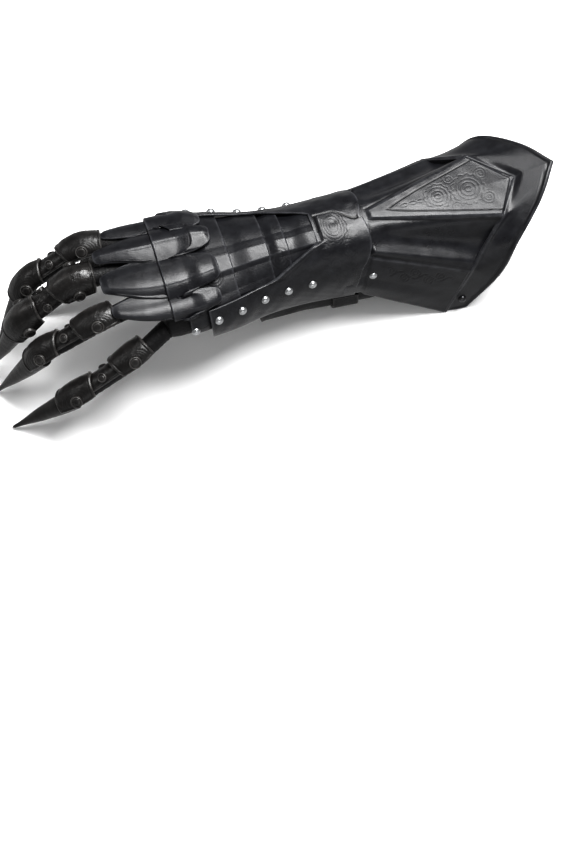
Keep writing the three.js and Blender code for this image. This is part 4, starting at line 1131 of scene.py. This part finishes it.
def knuckle_lines(u, v):
    from_disc = np.hypot((u - 0.5) * 27, (np.abs(v) - 0.78) * 24)
    return 0.7 * most(*(groove(from_disc - radius, 0.45) for radius in (6.5, 8.1, 9.7)))


PLATE_SCROLLS = [
    ((-9, 4), 4.5, 2.1, 0.1, 1, 0.38),
    ((9, -4), 4.5, 2.1, 0.6, -1, 0.38),
    ((0, 7), 4, 2.0, 0.3, 1, 0.36),
]


def plate_lines(u, v):
    along, across = (u - 0.5) * 30, v * 17
    return most(waves(along, across, 0, 11, 2.6, 0, 0.42), spirals(along, across, PLATE_SCROLLS))


KNUCKLE_CAP_HALF = 15
TIP_CAP_HALF = 15
CAP_POINT = 6
PLATE_UNDER_CAP = 7
CAP_DOME = 1.7
PLATE_LEVEL = FINGER_GAP
CAP_LEVEL = PLATE_LEVEL + CAP_WALL + FINGER_GAP
CLAW_START = 5
DOMED = dict(dome=CAP_DOME, off=CAP_LEVEL, lines=knuckle_lines, clear=(1.2, 2.2))
FLAT = dict(dome=0, off=PLATE_LEVEL, reach=88, lines=plate_lines, clear=(1.8, 2.8))


def finger_cap(bone, name, start, end, reach, dome, off, lines, clear, start_point=0, end_point=0):
    """A tooled cap over a finger, 'reach' degrees to each side, and its middle surface."""
    inner = bone.glove((start + end) / 2) + off

    def surface(u, v):
        pointed = np.maximum(1 - np.abs(v), 0)
        s = mix(start - start_point * pointed, end + end_point * pointed, u)
        rise = dome * np.sin(math.pi * np.clip(u, 0, 1))
        return bone.point(s, v * reach, inner + CAP_WALL + rise * (1 - 0.3 * v * v))

    def relief(u, v, p, rim):
        arch = np.sin(math.pi * np.clip(u, 0, 1)) * (dome > 0)
        ridge = 0.5 * groove(v, 0.11) * smooth(arch, 0.1, 0.8)
        hem = 0.55 * groove(rim - 0.9, 0.8)
        return ridge + 0.3 * arch * groove(v, 0.5) + hem + 0.18 * noise_field(p, 14, 4)

    def tool_lines(u, v, p, rim):
        return most(groove(rim - 2.2, 0.35), lines(u, v) * smooth(rim, *clear))

    def painted_highlight(u, v, p, rim):
        # Painted highlight along the ridge of a domed cap
        return 0.35 * groove(v, 0.1) * (dome > 0)

    wall(name, "tooled_leather", surface, np.linspace(0, 1, 68), np.linspace(-1, 1, 92), CAP_WALL,
         relief=relief, tool=tool_lines, painted_highlight=painted_highlight, crease=60)
    return surface


# Rows of (inset, height, worn colour): the raised rings carry a painted highlight
DISC_PROFILE = [(0, -0.9, 0.0), (0, 1.2, 0.4), (-0.2, 1.6, 1.0), (-0.55, 1.8, 1.0), (-0.95, 1.65, 0.8),
                (-1.2, 1.1, 0.0), (-1.45, 1.05, 0.0), (-1.7, 1.5, 0.7), (-2.1, 1.75, 0.5)]


def discs(name, surface, u, v, radius=DISC_RADIUS, lift=0.35):
    """A ringed leather washer on each side of a cap."""
    profile = [(radius + inset, height, rubbed_and_highlit) for inset, height, rubbed_and_highlit in DISC_PROFILE]
    profile += [(radius * 0.3, 1.85, 0.1), (0.4, 1.85, 0.1)]
    for side, sign in (("near", 1), ("far", -1)):
        spot = np.array(u), np.array(sign * v)
        out = normals_of(surface, *spot)
        turned(f"{name}_{side}", "tooled_leather", (), profile, surface(*spot) + out * lift, out)


def make_middle_plate(bone, name, node_name):
    surface = finger_cap(bone, node_name, bone.knuckle_at + KNUCKLE_CAP_HALF - PLATE_UNDER_CAP,
                         bone.tip_joint_at - TIP_CAP_HALF + PLATE_UNDER_CAP, **FLAT)
    discs(f"{name}_plate_disc", surface, 0.48, 0.62, DISC_RADIUS * 0.75, 0.2)


def make_knuckle_cap(bone, name):
    surface = finger_cap(bone, f"{name}_knuckle_cap", bone.knuckle_at - KNUCKLE_CAP_HALF,
                         bone.knuckle_at + KNUCKLE_CAP_HALF * 0.75, 98, end_point=CAP_POINT, **DOMED)
    discs(f"{name}_knuckle_disc", surface, 0.5, 0.78)


def make_tip_cap(bone, name):
    surface = finger_cap(bone, f"{name}_tip_cap", bone.tip_joint_at - TIP_CAP_HALF,
                         bone.tip_joint_at + TIP_CAP_HALF, 104, start_point=CAP_POINT, **DOMED)
    discs(f"{name}_tip_disc", surface, 0.45, 0.78)


CLAW_SIDES = 40
CLAW_BLUNT = 0.97              # share of the claw's length where its round point begins
CLAW_HOLLOW = 0.62


def make_claw(bone, name):
    """A hollow cone, slightly ridged along its back, with a blunt point."""
    start = bone.tip_joint_at + CLAW_START
    base = bone.glove(start) + FINGER_GAP * 0.6
    length = bone.length - start
    full = base + CAP_WALL
    angles = np.arange(CLAW_SIDES) * 360 / CLAW_SIDES
    from_back = (angles + 180) % 360 - 180
    point = CLAW_BLUNT + (1 - CLAW_BLUNT) * np.sin(np.linspace(0.1, 1, 8) * math.pi / 2)
    share = np.concatenate([np.linspace(0, CLAW_BLUNT, 70), point])
    radius = np.interp(share, [0, 0.2, 0.55, 0.85, CLAW_BLUNT, 1],
                       [full, full * 0.92, full * 0.62, full * 0.24, CLAW_TIP_RADIUS * 1.15,
                        CLAW_TIP_RADIUS * 0.35])
    soft = np.convolve(np.pad(radius, 4, mode="edge"), np.ones(9) / 9, mode="valid")
    radius = np.where((share > 0.06) & (share < 0.94), soft, radius)
    ridge = 1 + 0.07 * groove(from_back, 16) * (1 - share[:, None])
    s, a = np.meshgrid(start + share * length, angles, indexing="ij")
    dents = 0.25 * noise_field(stack(s, a * 0.1, 0), 17, 6) * (1 - share[:, None])
    outer = bone.point(s, a, radius[:, None] * ridge + dents)
    hollow = np.array([CLAW_HOLLOW, 0.4, 0.2, 0.0])
    hollow_radius = np.interp(hollow, [0, 0.3, CLAW_HOLLOW], [base, base * 0.85, base * 0.3])
    inner = bone.point((start + hollow * length)[:, None], angles, hollow_radius[:, None])
    # Worn colour: rubbed wear at the base edge and the point, and a painted highlight along the back ridge
    rubbed_and_highlit = (0.5 * groove(share, 0.015)[:, None] + 0.55 * smooth(share, 0.93, 1)[:, None]
              + 0.3 * groove(from_back, 9))
    wear_and_highlight = np.concatenate([np.zeros(inner[..., 0].size), rubbed_and_highlit.ravel(), [0, 0.6]])
    ringed(f"{name}_claw", "tooled_leather", [f"{name}_claw"], np.concatenate([inner, outer]),
           bone.point(start + CLAW_HOLLOW * length, 0, 0), bone.point(bone.length, 0, 0),
           np.clip(wear_and_highlight, 0, 1), 50, first=1)


def make_sleeve(bone, name):
    """The glove finger under the armour, creased at the joints and on its inner side."""
    end = bone.tip_joint_at + SLEEVE_PAST_JOINT

    def surface(u, v):
        return bone.point(u * end, v * 360, bone.glove(u * end))

    def relief(u, v, p, rim):
        s = u * end
        inner_side = 0.5 - 0.5 * np.cos(2 * math.pi * v)
        creases = sum(groove(s - at, 13) for at in (bone.knuckle_at, bone.tip_joint_at, 12))
        wrinkle = np.sin(s * 1.55 + 2.2 * noise_field(p, 17, 9))
        creased = (-0.35 + 0.45 * wrinkle) * creases * (0.35 + 0.65 * inner_side)
        return creased + 0.2 * inner_side * noise_field(p, 12, 11) - 0.2

    wall(f"{name}_sleeve", "soft_leather", surface, np.linspace(0, 1, 164), np.arange(56) / 56,
         GLOVE_WALL, closed=True, relief=relief)


def make_fingers():
    for finger in [*FINGERS, THUMB]:
        name = finger["name"]
        is_thumb = finger is THUMB
        bone = Bone(finger, THUMB_ROOT if is_thumb else FINGER_ROOT)
        make_sleeve(bone, name)
        if not is_thumb:
            make_knuckle_cap(bone, name)
        make_middle_plate(bone, name, "thumb_plate" if is_thumb else f"{name}_middle_plate")
        make_tip_cap(bone, name)
        make_claw(bone, name)


NOSE_REACH = 7                 # how far the glove's closed end stands past the knuckles
NOSE_SHARE = 0.8


def make_glove_hand():
    """The hand of the glove, from its closed end round the finger roots to the wrist."""
    def surface(u, v):
        u = 1 - u
        v = v % 1
        t = np.clip((u - NOSE_SHARE) / (1 - NOSE_SHARE), 0, 1)
        back = mix(-GLOVE_BACK * HAND_REACH, -HAND_REACH, np.clip(u / NOSE_SHARE, None, 1))
        x = back - NOSE_REACH * np.sin(t * math.pi / 2)
        shrink = 1 - np.sqrt(np.maximum(1 - np.clip(t, 0, 0.999) ** 2.2, 0))
        p = body_point(x, v * 360, 0)
        p[..., 1] = mix(p[..., 1], KNUCKLE_SHIFT, shrink)
        p[..., 2] = mix(p[..., 2], body_point(x, 90, 0)[..., 2], shrink)
        return p

    def relief(u, v, p, rim):
        palm = 0.5 - 0.5 * np.cos(2 * math.pi * v)
        folds = noise_field(p, 21, 12) - 0.7
        return (0.25 + 0.75 * palm) * 0.8 * folds * (1 - smooth(1 - u, 0.93, 1))

    wall("glove_hand", "soft_leather", surface, np.linspace(0.002, 1, 56), np.arange(100) / 100,
         GLOVE_WALL, closed=True, relief=relief)


# Rivets and snaps
RIVET_ANGLE = 68
HAND_RIVET = dict(at=-0.9, angle=84)
CUFF_RIVET = dict(u=0.17, v=0.82)
SNAP = dict(u=0.88, v=0.9)


def make_rivet(name, place, out, slot):
    dome = [(RIVET_RADIUS, -0.75, 0), (RIVET_RADIUS, 0.35, 0), (RIVET_RADIUS - 0.15, 0.6, 0)]
    for turn in rad(np.arange(12, 90, 9)):
        dome.append(((RIVET_RADIUS - 0.3) * math.cos(turn), mix(0.5, RIVET_HEIGHT, math.sin(turn)), 0))
    turned(name, slot, [name], dome, place + out * RIVET_GAP, out, 36)


def rivet_on_body(name, x, angle, off):
    make_rivet(name, body_point(x, angle, off), body_normal(x, angle, off), "polished_steel")


def make_rivets():
    for side, sign in (("near", -1), ("far", 1)):
        for k in range(5):
            x = STRIP_FROM * HAND_REACH + 6 + k * RIVET_PITCH
            rivet_on_body(f"wrist_rivet_{side}_{k + 1}", x, sign * RIVET_ANGLE, OUTER)
        rivet_on_body(f"hand_rivet_{side}", HAND_RIVET["at"] * HAND_REACH, sign * HAND_RIVET["angle"], TUCKED)
        for name, spot, slot in ((f"cuff_rivet_{side}", CUFF_RIVET, "polished_steel"),
                                 (f"cuff_snap_{side}", SNAP, "dark_steel")):
            u, v = np.array(spot["u"]), np.array(sign * spot["v"])
            make_rivet(name, cuff_surface(u, v), normals_of(cuff_surface, u, v), slot)


make_camera()
make_studio()
make_cuff()
make_forearm_plate()
make_underside()
make_strap()
make_buckle()
make_wrist()
make_hand_plate()
make_combs()
make_glove_hand()
make_fingers()
make_rivets()
